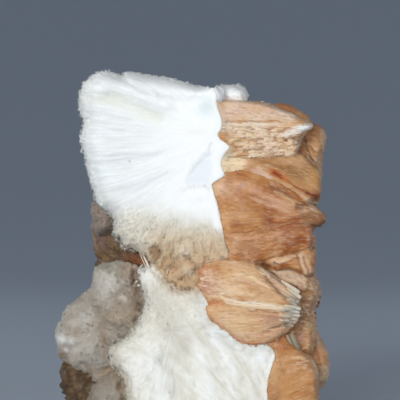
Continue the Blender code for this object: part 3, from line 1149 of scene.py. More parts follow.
def make_fan_upper():
    rng = np.random.default_rng(11)
    marks = (
        # the crest of the lobe at the top left, and the crease before the ridge
        # behind it, painted grey as shade
        line(1.0, None, 0, 9, (84, 94), (98, 80), (118, 82), (150, 97),
             (178, 110)),
        line(-0.8, PEARL * 0.88, 0.35, 4.0, (119, 73), (126, 81), (138, 88),
             (158, 93), (182, 97), (206, 102)),
        # the hollow that runs out to the left rim
        dab(-0.4, linear((226, 227, 216)), 0.6, 108, 98, 18, 6.0),
        line(-0.4, linear((230, 230, 219)), 0.55, 6.5, (98, 96), (124, 103),
             (146, 112), (168, 124)),
        dab(-0.2, linear((230, 230, 216)), 0.35, 150, 117, 14, 6),
        # low ridges across the left part, with the furrows between them painted
        # grey as shade
        line(0.25, None, 0, 4, (92, 116), (120, 120), (160, 127)),
        line(-0.3, PEARL * 0.86, 0.35, 3.5, (84, 112), (104, 113),
             (136, 120)),
        line(0.3, None, 0, 5, (92, 152), (125, 151), (170, 147)),
        line(-0.35, PEARL * 0.88, 0.25, 4, (90, 168), (122, 163),
             (168, 153)),
        line(0.3, None, 0, 6, (98, 184), (130, 178), (172, 160)),
        line(-0.3, PEARL * 0.88, 0.3, 4, (100, 196), (136, 190), (180, 170)),
        # painted grey shade in the hollow below the top at the right
        dab(-0.5, linear((214, 226, 226)), 0.7, 207, 108, 9, 9),
        # the smooth facet under the growing point, painted bluish grey as
        # shade, and its borders
        plate(-0.45, linear((228, 233, 240)), 0.7, 5.0, (209, 152),
              (212, 162), (213, 176), (205, 185), (192, 187), (188, 178),
              (195, 164)),
        line(-0.3, PEARL * 0.84, 0.3, 1.8, (213, 141), (209.5, 150),
             (206.5, 160)),
        line(-0.25, PEARL * 0.88, 0.4, 1.8, (206, 158), (198, 165),
             (188, 175)),
        line(-0.35, PEARL * 0.84, 0.5, 1.3, (178, 190.5), (192, 188),
             (205, 187), (218, 189)),
        dab(0, linear((238, 236, 226)), 0.5, 197, 131, 10, 4),
        line(0.35, SNOW, 0.8, 4.5, (186, 198), (204, 194), (217, 197)),
        # the white strip down the right border
        line(0.3, SNOW, 0.8, 5.0, (215, 186), (217, 205), (220, 222),
             (222, 232)),
        dab(-0.2, DUSK, 0.9, 130, 162, 0.8, 0.8),
        # brown hollows in the hanging fringe, darkened as painted shade
        plate(-1.2, linear((150, 118, 86)), 0.85, 1.8, (150, 247),
              (158, 246), (162, 251), (160, 259), (155, 262), (151, 256)),
        plate(-0.9, linear((186, 154, 120)), 0.75, 2.6, (162, 258),
              (172, 255), (178, 261), (176, 272), (168, 275), (161, 267)),
        dab(-0.4, linear((190, 150, 112)), 0.6, 203, 271, 6, 5),
        # brown pits between the tufts at its right end, darkened as painted
        # shade
        dab(-0.7, linear((164, 126, 92)), 0.65, 176, 268, 4, 2.4),
        dab(-0.7, linear((160, 120, 86)), 0.6, 190, 262, 3, 2.4),
        dab(-0.8, linear((166, 126, 92)), 0.65, 197, 269, 3, 4),
        dab(-0.7, linear((170, 130, 96)), 0.6, 183, 279, 5, 2.4),
        dab(-0.6, linear((176, 138, 104)), 0.5, 206, 258, 3, 3.4),
        dab(-0.6, linear((178, 140, 104)), 0.5, 170, 246, 3, 4),
        dab(-0.6, linear((180, 144, 108)), 0.5, 196, 248, 2.4, 4),
        dab(-0.5, linear((184, 150, 116)), 0.45, 181, 240, 2.4, 4),
        dab(-0.5, linear((186, 152, 118)), 0.45, 213, 246, 2, 5),
        dab(-0.5, linear((196, 182, 160)), 0.45, 133, 231, 3, 2.4),
        dab(-0.5, linear((198, 188, 168)), 0.4, 147, 243, 2.4, 3),
        dab(-0.5, linear((200, 190, 172)), 0.4, 120, 233, 3, 2),
        line(-0.5, linear((196, 170, 138)), 0.6, 2.0, (165, 236),
             (161, 244), (158, 250)),
        dab(0.4, ROSY, 0.45, 129, 246, 5, 3),
        dab(0.35, linear((224, 204, 192)), 0.6, 161, 234, 4, 4),
        dab(0.5, linear((226, 214, 196)), 0.5, 186, 252, 9, 7),
        dab(0.5, linear((222, 206, 182)), 0.5, 186, 272, 8, 6),
        dab(0.6, linear((230, 226, 214)), 0.6, 126, 222, 9, 7),
        dab(0.5, linear((226, 220, 206)), 0.5, 140, 238, 7, 6),
    )

    def surface(u, v):
        lift, _ = draw(*strayed(u, v, 1, 7.0, 1.6), marks)
        back_away = 0.0007 * np.maximum(v - 200.0, 0.0) ** 2
        back_away = back_away * (1.0 - 0.9 * rise(
            u + 0.2 * (v - 240), 194, 220))
        return back_away - lift - 0.3 * rise(u, 184, 218)

    def radius(u, v):
        narrow = rise(u, 160.0, 212.0)
        low = rise(v, 215.0, 262.0) * (1.0 - narrow)
        return 22.0 * (1.0 - narrow) * (1 - 0.45 * low) + 9.0 * narrow

    def edge(u, v):
        right = rise(u, 196, 214)
        low = rise(v, 240, 260) * rise(u, 136, 158)
        return -9.0 - 15.4 * right - (1.0 - right) * (
            9.0 * low + 3.0 * rise(v, 226, 244))

    def ragged(u, v):
        left = 1.0 - rise(u, 84.0, 112.0)
        low = rise(v, 205.0, 236.0)
        right = rise(u, 206.0, 214.0)
        return (1.5 + 1.5 * left + 3.8 * low) * (1.0 - 0.45 * right)

    body = Body(
        FAN_UPPER, (190, 150), (-24.6, -9.0, 5.0), 800, 64, 8, square=2.7,
        lean=(-3.0, 2.0), middle=(166, 162), radius=radius, surface=surface,
        edge=edge, crinkle=ragged, crinkle_size=4.4, seed=12, power=1.4,
        weight=lambda u, v: 1.0 - 0.3 * rise(u, 210, 218),
    )
    u, v, near = body.u, body.v, body.near
    # The needles leave the growing point in all directions and bend level
    # towards the left rim.
    x = np.maximum(213.5 - u, 0.0)
    dv = (v - 139.0) / (1.0 - 0.42 * np.clip(x, 0, 130) / 130.0)
    angle = np.arctan2(-dv, u - 213.5)
    r = np.hypot(u - 213.5, dv)
    body.fibre = np.stack(
        [60 * np.cos(angle), 60 * np.sin(angle) + 200.0 * body.is_far, r],
        axis=-1,
    )
    body.calm = 0.25 * rise(r, 2.0, 20.0) + 0.75 * rise(r, 22.0, 80.0)

    wu, wv = strayed(u, v, 1, 7.0, 1.6)
    _, coats = draw(wu, wv, marks)
    wander = 7.0 * clouds(body.here(18.0), 5) + 3.0 * clouds(body.here(5.0), 6)
    edge_v = 208.0 + 10.0 * rise(u, 130, 215)
    fringe = rise(v + wander, edge_v - 12.0, edge_v + 18.0)
    strip = rise(u + 0.1 * (240 - v), 211, 218) * (1.0 - rise(v, 214, 240))
    fringe = fringe * (1.0 - 0.95 * strip)
    rim_wide = 2.0 + 4.0 * (1.0 - rise(u, 85, 120))
    rim = np.where(
        body.is_far, 1.0,
        1.0 - rise(body.d + 2.2 * clouds(body.here(4.0), 7), rim_wide - 2.0,
                   rim_wide + 3.0),
    )
    rim = rim * (1.0 - rise(u, 200, 208) * (v > 92) * near)
    ends = np.clip(np.maximum(fringe, rim), 0.0, 1.0)
    silk = 1.0 - ends

    lobes = clouds(body.grain(14.0, 80.0), 21, 2)
    furrows = clouds(body.grain(3.2, 50.0), 22, 3)
    threads = clouds(body.grain(0.8, 24.0), 23, 2, 0.7)
    left = 1.0 - rise(u, 105, 200)
    sugar = clouds(body.here(3.3), 30, 3, 0.7)
    first, second, mark = cells(body.here(2.4), 31)
    lumps = clouds(body.here(9.0), 24, 3, 0.6)
    amount = body.calm * silk * (
        (0.12 + 0.1 * left) * lobes + (0.03 + 0.17 * left) * furrows
        + (0.01 + 0.08 * left) * threads
    )
    amount = amount + fringe * (
        0.40 * sugar + 0.20 * (0.5 - first) + 0.62 * lumps
    ) + (rim * (1 - fringe)) * (
        0.5 * sugar + 0.25 * (0.5 - first) + 0.35 * lumps
    )
    body.lift(amount)
    body.settle()
    keep_front("fan_upper", body, FAN_UPPER)

    tint = np.broadcast_to(SNOW, u.shape + (3,)).copy()
    patchy = clouds(body.grain(16.0, 34.0), 27, 3)
    # Painted shade: greyer towards the left, along the furrows and threads, and
    # blue-grey in its low furrows.
    shade = left * silk * (
        0.12 + 0.08 * furrows + 0.11 * threads + 0.05 * patchy)
    shade = shade + 0.02 * silk * (1 - left) * (furrows + threads)
    tint = tint * (1.0 - np.clip(shade, -0.05, 0.3))[..., None]
    tint = blend(tint, linear((224, 230, 232)), 0.35 * left * silk
                 * rise(-furrows - 0.5 * patchy, 0.0, 0.5))
    # Painted shade: a grey band along the top, where the face turns back, and
    # grey patches at the left edge and low at the left.
    tint = blend(tint, PEARL * 0.86, 0.4 * stroke(
        u, v, 7, (122, 74), (150, 79), (185, 86), (214, 97), fade=0.2)
        * (0.8 + 0.8 * clouds(body.here(4.0), 28)))
    tint = blend(tint, linear((226, 228, 222)), 0.5 * spot(
        u, v, 84, 100, 10, 22))
    tint = blend(tint, linear((216, 218, 206)), 0.6 * spot(
        u, v, 104, 204, 12, 12) * near)
    # The fringe goes from white through cream to tan, sooner at the right.
    warm = rise(v, 206, 272) * (0.42 + 0.58 * rise(u, 132, 164))
    fringe_tint = ramp(
        np.clip(warm + 0.12 * lumps + 0.05 * mark, 0, 1),
        linear((222, 219, 208)), linear((218, 211, 194)),
        linear((214, 199, 174)), linear((209, 187, 156)),
        linear((200, 172, 137)),
    )
    # Painted shade in the pits between the grains: tan where the fringe is
    # warm, grey where it is white.
    pits = rise(first, 0.3, 0.8)
    fringe_tint = blend(fringe_tint, linear((204, 172, 136)),
                        0.45 * pits * warm)
    fringe_tint = blend(fringe_tint, linear((200, 196, 180)),
                        0.4 * pits * (1 - warm))
    tint = blend(tint, fringe_tint, fringe)
    side = rim * (1.0 - fringe)
    # The rim greys in its pits as painted shade, most at the left below the top
    # lobe and all over the far side.
    rim_tint = ramp(0.4 * pits + 0.15 * mark + 0.2, SNOW * 0.97,
                    linear((230, 232, 226)), linear((206, 208, 198)))
    left_rim = 0.35 + 0.65 * (1 - rise(u, 95, 140)) * rise(v, 95, 120)
    tint = blend(tint, rim_tint, 0.8 * side * np.where(near, left_rim, 1.0))
    for colour, share in coats:
        tint = blend(tint, colour, share * near)
    tint = blend(tint, linear((176, 150, 140)), 0.6 * near * stroke(
        u, v, 2.2, (88, 178), (91, 190), (96, 202), fade=0.3))
    # painted shade: a few darker pits between the hanging tufts
    tint = blend(tint, linear((204, 166, 124)), 0.45 * fringe * warm * near
                 * rise(-lumps - 0.4 * sugar, 0.1, 0.45))

    skin = Skin()
    skin.add_body(body, tint, 0.3 + 0.4 * left * silk + 0.35 * ends)
    strong = rise(fringe, 0.25, 0.8) * near
    skin.add_tufts(rng, body, tint, 760, 7, strong * (0.3 + rise(
        v, 212, 250)), (1.0, 2.4), (0.35, 0.65), spread=0.7, down=0.5,
        root=1.0, tips=linear((250, 246, 236)), tip_share=0.6)
    skin.add_tufts(rng, body, tint, 300, 7, near * rise(v, 244, 258)
                   * rise(u, 146, 160) * (0.4 + rise(lumps, -0.2, 0.3)),
                   (1.2, 2.8), (0.4, 0.75), spread=0.8, down=0.6, root=1.0,
                   tips=linear((250, 234, 208)), tip_share=0.75)
    # bursts that hang from the lower border
    low_rim = fringe * near * (1.0 - rise(body.d, 1.0, 5.0))
    skin.add_tufts(rng, body, tint, 190, 11, low_rim, (1.8, 4.6),
                   (0.6, 1.1), spread=0.9, down=0.9, root=1.0,
                   tips=linear((252, 248, 238)), tip_share=0.75)
    skin.add_tufts(rng, body, tint, 260, 8, side * near * (u < 205)
                   * (0.15 + (1 - rise(u, 88, 130))) * (body.d < 4),
                   (1.2, 3.0), (0.5, 0.9), spread=0.8, root=1.0, tips=SNOW,
                   tip_share=0.7)
    skin.add_frost(rng, body, tint, 1800, 1.0 * body.is_far, (1.6, 3.6),
                   (0.6, 1.1), out=0.2, face=0.6, scatter=0.6, root=1.0,
                   tips=SNOW, tip_share=0.5)
    # single long needles that bridge the gap to the spray below
    white, rose = linear((226, 220, 208)), linear((206, 172, 150))
    straw = linear((228, 208, 180))
    skin.add_blades([
        (140.8, 250.0, -17.2, 1.0, 149.5, 268.5, -18.2, 2.8, 1.2, straw,
         white),
        (139.0, 252.0, -16.8, 0.9, 146.5, 268.0, -18.0, 1.3, 0.8, rose,
         straw),
        (150.5, 253.0, -16.8, 0.9, 155.0, 269.0, -18.2, 1.3, 0.8, rose,
         straw),
        (165.0, 252.0, -17.2, 1.2, 158.3, 269.0, -18.4, 1.2, 0.9, straw,
         straw),
        (160.5, 256.0, -17.4, 0.8, 162.5, 269.0, -18.4, 1.1, 0.8, straw,
         white),
        (147.0, 249.0, -16.6, 0.9, 147.5, 259.0, -17.2, 1.0, 0.8, white,
         rose),
        (170.5, 262.0, -17.8, 1.2, 166.5, 275.0, -18.6, 1.2, 0.9, straw,
         white),
    ])
    return skin.make("fan_upper", SILKY, "scolecite_fan_upper")


def make_fan_lower():
    rng = np.random.default_rng(21)
    marks = (
        plate(0.7, None, 0, 6.0, (168, 303), (186, 304), (204, 318),
              (214, 332), (204, 342), (186, 336), (172, 322)),
        # the valley that runs down from the tongue at the top, painted darker
        # as shade
        line(-0.6, linear((203, 198, 186)), 0.6, 12, (152, 280), (158, 300),
             (169, 318), (180, 340), (186, 366)),
        dab(-0.1, linear((206, 196, 180)), 0.4, 172, 288, 12, 7),
        # darker grooves painted as shade, and brighter ridges and lobes painted
        # as highlights
        line(-0.5, linear((216, 214, 202)), 0.5, 5, (197, 328), (212, 350),
             (224, 384)),
        line(-0.4, linear((218, 216, 202)), 0.5, 4.5, (214, 332), (232, 354),
             (246, 388)),
        line(-0.4, linear((214, 214, 204)), 0.4, 6, (160, 350), (172, 372),
             (180, 400)),
        line(0.4, SNOW * 0.97, 0.6, 5, (206, 326), (224, 350), (238, 382)),
        line(0.3, SNOW * 0.97, 0.5, 5, (190, 340), (205, 366), (214, 400)),
        line(0.6, SNOW * 0.95, 0.5, 12, (140, 346), (154, 366), (164, 400),
             (170, 440)),
        dab(0.5, SNOW, 0.75, 262, 360, 9, 10),
        dab(0.3, SNOW, 0.7, 216, 331, 5, 4),
        # the lobe at the left border, painted grey as shade
        dab(0.5, linear((190, 182, 168)), 0.8, 112, 352, 9, 10),
        dab(-0.6, linear((196, 170, 136)), 0.75, 115, 378, 8, 14),
        line(-0.4, linear((206, 184, 152)), 0.5, 3, (122, 366), (127, 384),
             (129, 410)),
        dab(0.4, SNOW * 0.97, 0.5, 148, 275, 8, 6),
        dab(-0.2, DUSK, 0.9, 170, 392, 0.8, 0.8),
        dab(0.3, linear((222, 206, 182)), 0.5, 188, 286, 9, 4),
        # tan needles under the hanging fringe
        dab(0, linear((198, 172, 140)), 0.65, 161, 271, 6, 6),
        dab(0, linear((200, 176, 146)), 0.6, 168, 281, 7, 5),
        dab(0, linear((204, 182, 154)), 0.55, 180, 289, 9, 4),
        dab(0, linear((200, 168, 142)), 0.55, 198, 292, 6, 5),
    )

    def surface(u, v):
        lift, _ = draw(*strayed(u, v, 2, 8.0, 1.8), marks)
        return 1.0 * (1.0 - rise(v, 270, 300)) - lift

    right = [(196, 280), (216, 300), (240, 324), (264, 340), (280, 350),
             (274, 370), (270, 384), (270, 472)]

    def edge(u, v):
        gap, _ = to_line(u, v, right)
        top = rise(-v, -292, -272) * rise(u, 150, 168)
        beside = 1.0 - rise(gap, 3.0, 18.0)
        return -13.0 - 10.4 * beside - 4.0 * top * (1.0 - beside)

    body = Body(
        FAN_LOWER, (172, 330), (-23.0, -9.0, 1.0), 550, 54, 8, square=2.3,
        lean=(0.0, -3.0), middle=(196, 360),
        radius=lambda u, v: (20.0 - 9.0 * rise(
            u + 0.4 * (330 - v), 222, 255)) * (0.5 + 0.5 * rise(v, 285, 330)),
        edge=edge, surface=surface, power=1.35,
        crinkle=lambda u, v: 3.4 - 2.6 * rise(u, 196, 222), crinkle_size=6.0,
        seed=22,
    )
    tuck_under(body, ("bow_tie",), 15.0)
    tuck_under(body, ("fan_upper",), 9.0)
    u, v, near = body.u, body.v, body.near
    # The needles fan out from a point below the right end of the cut.
    angle = np.arctan2(v - 470.0, u - 300.0)
    r = np.hypot(u - 300.0, v - 470.0)
    body.fibre = np.stack(
        [150 * np.cos(angle), 150 * np.sin(angle) + 200.0 * body.is_far, r],
        axis=-1,
    )
    _, coats = draw(*strayed(u, v, 2, 8.0, 1.8), marks)
    fuzz = np.where(body.is_far, 1.0, 1.0 - rise(
        body.d + 4.0 * clouds(body.here(6.0), 50), 2.0, 10.0))
    fuzz = fuzz * (1.0 - rise(u, 200, 216) * near)
    cotton = np.clip(1.0 - rise(v + 0.5 * (u - 160), 300, 350), 0, 1)
    furrows = clouds(body.grain(6.0, 34.0), 52, 3)
    wool = clouds(body.here(7.0), 53, 4, 0.6)
    sugar = clouds(body.here(3.4), 54, 3, 0.8)
    first, second, mark = cells(body.here(2.3), 55)
    body.lift(
        0.32 * furrows + 0.62 * wool
        + (0.10 + 0.15 * cotton + 0.45 * fuzz) * sugar
        + (0.08 + 0.10 * cotton + 0.2 * fuzz) * (0.5 - first)
    )
    body.settle()
    keep_front("fan_lower", body, FAN_LOWER)

    tint = np.broadcast_to(linear((233, 232, 225)), u.shape + (3,)).copy()
    soft = clouds(body.grain(9.0, 40.0), 56, 3)
    tint = blend(tint, linear((240, 241, 238)), 0.8 * rise(soft, -0.05, 0.4))
    # Painted shade: greyer where the furrows and the wool lie low, and in the
    # pits.
    tint = blend(tint, linear((210, 205, 190)), 0.6 * rise(-furrows, 0, 0.5))
    tint = blend(tint, linear((216, 213, 199)), 0.55 * rise(-wool, 0, 0.45))
    tint = blend(tint, linear((218, 213, 198)), 0.5 * cotton)
    pits = rise(first, 0.3, 0.8)
    tint = blend(tint, linear((206, 200, 184)),
                 0.35 * pits * (fuzz + 0.5 * cotton) * near)
    for colour, share in coats:
        tint = blend(tint, colour, share * near)
    # painted shade on the fuzzy border low at the left
    tint = blend(tint, linear((204, 196, 180)), 0.5 * fuzz * near
                 * rise(v, 296, 330) * (1.0 - rise(u, 120, 160)))

    skin = Skin()
    skin.add_body(body, tint, 0.4 + 0.3 * np.maximum(fuzz, cotton))
    skin.add_tufts(rng, body, tint, 420, 8, (fuzz + 0.12 * cotton) * near
                   * (0.3 + (body.d < 5)) * body.free, (1.4, 3.4),
                   (0.5, 0.9), spread=0.8, root=1.0, tips=SNOW,
                   tip_share=0.6)
    skin.add_frost(rng, body, tint, 1800, 1.0 * body.is_far * (v < 460),
                   (1.6, 3.6), (0.6, 1.1), out=0.2, face=0.6, scatter=0.6,
                   root=1.0, tips=SNOW, tip_share=0.5)
    return skin.make("fan_lower", SILKY, "scolecite_fan_lower")


def make_ball(name, node, outline, centre, depths, seed, needles, rays, rings,
              light, dark, marks=(),
              length=(1.1, 2.6), width=(0.5, 0.85), material=None,
              square=2.1, tips=None, crinkle=1.8, high=1.0, lump=13.0,
              granule=4.4, grain=2.1, edge=None, radius=None,
              far_rings=None, under=(), reach=9.0):
    """A ball of needles: tufts on a round core, covered in fine granules,
    with short needles that stand on them in all directions."""
    rng = np.random.default_rng(seed)

    def surface(u, v):
        lift, _ = draw(*strayed(u, v, seed, 7.0, 2.2), marks)
        return -lift

    body = Body(
        outline, centre, depths, rays, rings, far_rings or rings // 2,
        square=square, crinkle=crinkle, crinkle_size=5.0, seed=seed, power=1.2,
        surface=surface, edge=edge, radius=radius,
    )
    if under:
        tuck_under(body, under, reach)
    u, v = body.u, body.v
    _, coats = draw(*strayed(u, v, seed, 7.0, 2.2), marks)
    big, _, big_mark = cells(body.here(lump), seed + 1)
    small, _, fleck = cells(body.here(granule), seed + 2)
    tiny, _, speck = cells(body.here(grain), seed + 4)
    rough = clouds(body.here(5.0), seed + 3, 4, 0.65)
    swells = clouds(body.here(11.0), seed + 6, 2)
    body.lift(high * (
        0.2 * (0.55 - big) + 0.8 * swells + 0.18 * (0.5 - small)
        + 0.18 * (0.5 - tiny) + 0.34 * rough
    ))
    body.settle()
    keep_front(name, body, outline)
    # Painted shade: the colour darkens where the swells, granules and grains
    # lie low, over broad random clouds.
    cloudy = clouds(body.here(15.0), seed + 5, 3)
    q = (
        0.36 + 0.4 * cloudy - 0.25 * swells + 0.14 * (small - 0.4)
        - 0.05 * fleck + 0.10 * (tiny - 0.4) - 0.2 * rough
    )
    tint = ramp(q, light, light * 0.72 + dark * 0.28,
                light * 0.4 + dark * 0.6, dark)
    # painted glints on the raised granules and grains
    tint = blend(tint, light * 1.25, 0.6 * rise(fleck, 0.4, 0.85)
                 * rise(-small, -0.45, -0.1))
    tint = blend(tint, light * 1.3, 0.5 * rise(speck, 0.5, 0.9)
                 * rise(-tiny, -0.45, -0.1))
    for colour, share in coats:
        tint = blend(tint, colour, share * body.near)
    skin = Skin()
    skin.add_body(body, tint, 0.7)
    skin.add_tufts(rng, body, tint, needles // 6, 8, body.free * (
        0.4 + rise(swells, -0.3, 0.4)), length, width, spread=0.8,
        root=1.0, tips=PEARL if tips is None else tips, tip_share=0.5)
    return skin.make(name, material or CLEAR, node)


# ------------------------------------------------------------------- stilbite

EMBER = linear((196, 116, 62))
STRAW = linear((226, 200, 152))
SMOKE = linear((172, 158, 144))
CLAY = linear((176, 128, 94))
CHALK = linear((240, 232, 222))
PETAL = linear((228, 194, 172))
OLIVE = linear((166, 132, 84))


def fall(shoulder, inner, outer, wide=9.0):
    """How deep a sheaf's border lies: just behind its own face beside a
    neighbour, and far back along its shoulder."""

    def edge(u, v):
        gap, _ = to_line(u, v, shoulder)
        return outer + (inner - outer) * rise(gap, 2.0, wide)

    return edge


def turn(shoulder, tight=5.0, gentle=14.0):
    """How wide a sheaf's border bends: tight along its shoulder only."""

    def radius(u, v):
        gap, _ = to_line(u, v, shoulder)
        return tight + (gentle - tight) * rise(gap, 2.0, 14.0)

    return radius


def make_leaf(name, node, outline, centre, depths, guides, seed, rays, front,
              base, marks, lean=(0.0, 0.0), middle=None, radius=6.0,
              edge=None, back=6, rough=None, plates=(0.06, 0.05), fine=0.04,
              broad=0.3, crinkle=1.9, blades=(), far_base=None, square=2.3,
              sharp=None, stray=1.0, streaks=1.0, carve=0.6, rim=0.25,
              far_plates=0.5, under=(), reach=8.0, soft=0.45):
    """A sheaf of thin stilbite plates, which run along its guide lines. base
    is how dark it is, from 0 (pale) to 1 (umber), at its left and right."""

    def surface(u, v):
        lift, _ = draw(*strayed(u, v, seed, 6.0, stray), marks)
        return -carve * lift

    body = Body(
        outline, centre, depths, rays, front, back, square=square, lean=lean,
        middle=middle, surface=surface, radius=radius, edge=edge,
        crinkle=crinkle, crinkle_size=4.4, seed=seed, power=1.2,
    )
    if under:
        tuck_under(body, under, reach)
    body.follow(Flow(*guides))
    u, v, near = body.u, body.v, body.near
    _, coats = draw(*strayed(u, v, seed, 6.0, stray), marks)

    a_first, a_second, a_mark = cells(body.grain(8.0, 75.0), seed + 1)
    b_first, b_second, b_mark = cells(body.grain(3.0, 30.0), seed + 2)
    threads = clouds(body.grain(1.2, 16.0), seed + 3, 2, 0.6)
    swells = clouds(body.grain(12.0, 60.0), seed + 4, 2)
    strong = np.where(body.is_far, far_plates / 0.1, 1.0)
    relief = (
        strong * (plates[0] * a_mark + plates[1] * b_mark)
        + fine * threads + broad * swells
    )
    grit = np.zeros(u.shape)
    if rough is not None:
        grit = np.clip(rough(u, v), 0.0, 1.0) * near
    grit = np.where(body.is_far, 0.35, grit)
    c_first, c_second, c_mark = cells(body.grain(2.0, 5.5), seed + 5)
    chips = 0.30 * (0.5 - c_first) + 0.14 * c_mark
    body.lift(relief + grit * chips)
    body.settle()
    keep_front(name, body, outline)

    streak = clouds(body.grain(2.4, 36.0), seed + 6, 3)
    hair = clouds(body.grain(0.9, 13.0), seed + 9, 2)
    cloudy = clouds(body.here(17.0), seed + 7, 3)
    mottled = clouds(body.grain(4.5, 9.0), seed + 11, 3, 0.6)
    share = np.clip((u - 215.0) / 100.0, 0.0, 1.0)
    q = (
        base[0] + (base[1] - base[0]) * share
        + streaks * (0.02 * a_mark + 0.09 * streak + 0.06 * hair)
        + 0.30 * cloudy + 0.20 * mottled
    )
    stops = (BLUSH, PEACH, TAN, AMBER, RUST, UMBER)
    tint = ramp(q, *stops)
    pinker = clouds(body.here(12.0), seed + 8, 2)
    tint = blend(tint, ROSY, 0.22 * rise(pinker, 0.05, 0.5))
    if far_base is not None:
        far_q = q - base[0] + far_base + 0.08 * strong * a_mark * 0.3
        tint = np.where(body.is_far[..., None], ramp(far_q, *stops), tint)
    for colour, strength in coats:
        tint = blend(tint, colour, strength * near)
    # an orange-brown rim along the border, partly rust and partly painted shade
    # where the border turns away
    tint = blend(tint, EMBER, rim * (1.0 - rise(body.d, 0.3, 2.6)) * near)
    # pale flecks on the raised chips and dark flecks in the low ones where the
    # plates are broken: painted highlight and painted shade
    tint = blend(tint, linear((244, 226, 198)), 0.55 * grit
                 * rise(c_mark - 0.5 * c_first, 0.0, 0.5))
    tint = blend(tint, linear((150, 100, 60)), 0.5 * grit
                 * rise(-c_mark + 0.5 * c_first, 0.45, 0.95))
    # short rusty and pale dashes along the plates
    d_first, _, d_mark = cells(body.grain(1.3, 5.0), seed + 10)
    dash = rise(-d_first, -0.75, -0.35) * near
    tint = blend(tint, linear((152, 92, 50)), 0.38 * dash
                 * rise(-d_mark, 0.6, 0.8))
    tint = blend(tint, linear((240, 214, 186)), 0.26 * dash
                 * rise(d_mark, 0.6, 0.85))
    # painted highlights on thin plates along the raised threads
    tint = blend(tint, linear((244, 224, 200)), 0.17 * streaks
                 * rise(threads + 0.5 * streak, 0.25, 0.6) * near)

    skin = Skin()
    skin.add_body(body, tint, soft + 0.6 * grit)
    skin.add_blades(blades)
    return skin.make(name, PEARLY, node, sharp=sharp)



def make_sheaf_top():
    make_leaf(
        "sheaf_top", "stilbite_sheaf_top", SHEAF_TOP, (254, 128),
        (-25.0, -12.0, -2.0),
        [[(195, 92), (250, 95), (288, 104), (320, 120)],
         [(195, 110), (250, 111), (290, 117), (320, 124)],
         [(195, 124), (260, 123), (320, 127)],
         [(195, 139), (240, 138), (285, 137), (320, 130)],
         [(195, 162), (240, 162), (290, 160), (320, 144)]],
        101, 420, 50, (0.16, 0.20), (
            plate(0.2, linear((224, 196, 174)), 0.5, 2.5, (205, 99),
                  (222, 98), (250, 99), (272, 103), (290, 111), (301, 119),
                  (286, 121), (262, 120.5), (240, 120.5), (212, 121)),
            dab(0, ROSY * 1.05, 0.4, 284, 111, 14, 6),
            dab(-0.3, linear((236, 214, 198)), 0.6, 279, 113, 6, 3),
            dab(0.3, linear((240, 222, 208)), 0.6, 291, 117, 6, 3),
            dab(-0.3, linear((206, 160, 130)), 0.5, 270, 109, 7, 3),
            dab(-0.3, linear((190, 142, 112)), 0.5, 297, 119, 4, 3),
            dab(0.2, linear((238, 216, 198)), 0.5, 266, 113, 4, 2),
            dab(0, PETAL, 0.5, 220, 112, 9, 9),
            line(-0.35, AMBER, 0.55, 1.0, (222, 122.5), (245, 122),
                 (262, 121), (288, 121.5)),
            line(0.25, CHALK, 0.55, 1.5, (213, 124), (236, 124.5),
                 (262, 123.5), (286, 125)),
            line(0.2, CHALK, 0.4, 2.2, (214, 129), (240, 128), (264, 128)),
            # the white ridge that runs out to the right end
            plate(0.35, linear((246, 238, 228)), 0.9, 2.4, (279, 136),
                  (290, 129), (301, 125.5), (313, 123.5), (315, 127),
                  (306, 131), (297, 135), (288, 138.5)),
            dab(0.15, SNOW, 0.75, 304, 128, 9, 2.8),
            line(-0.4, CLAY, 0.6, 1.2, (268, 128), (272, 134), (278, 140)),
            line(-0.3, AMBER, 0.4, 1.0, (268, 129), (276, 128), (284, 129)),
            line(-0.4, EMBER, 0.65, 2.2, (213, 134), (220, 138),
                 (230, 143), (240, 147.5)),
            dab(0, STRAW, 0.5, 238, 142, 12, 4),
            dab(0, linear((238, 214, 182)), 0.5, 252, 133, 18, 4),
            line(-0.3, CLAY, 0.4, 1.0, (240, 138), (252, 140), (264, 142)),
            line(-0.5, UMBER, 0.5, 1.2, (283, 141), (292, 139.5),
                 (303, 136)),
            dab(-0.5, SMOKE * 0.8, 0.65, 298, 142, 7, 4.5),
            dab(0, linear((232, 206, 178)), 0.45, 262, 146, 14, 3),
            # painted shade along the line where the sheaf overhangs the one
            # below
            line(-0.3, CLAY * 0.8, 0.6, 1.3, (236, 150.5), (262, 149.5),
                 (284, 149), (298, 147.5)),
        ),
        lean=(3.0, 0.0), middle=(252, 126),
        radius=turn(TOP_SHOULDER), under=("fan_upper",),
        edge=fall(TOP_SHOULDER, -24.1, -14.0), streaks=0.9, rim=0.1,
        rough=lambda u, v: rise(v + 1.5 * np.sin(0.23 * u), 122, 128) * (
            1.0 - 0.5 * stroke(u, v, 4.5, (284, 133), (312, 126), fade=0)
        ) * (0.55 + 0.45 * rise(u, 226, 250))
        + 0.5 * spot(u, v, 286, 113, 18, 7),
    )


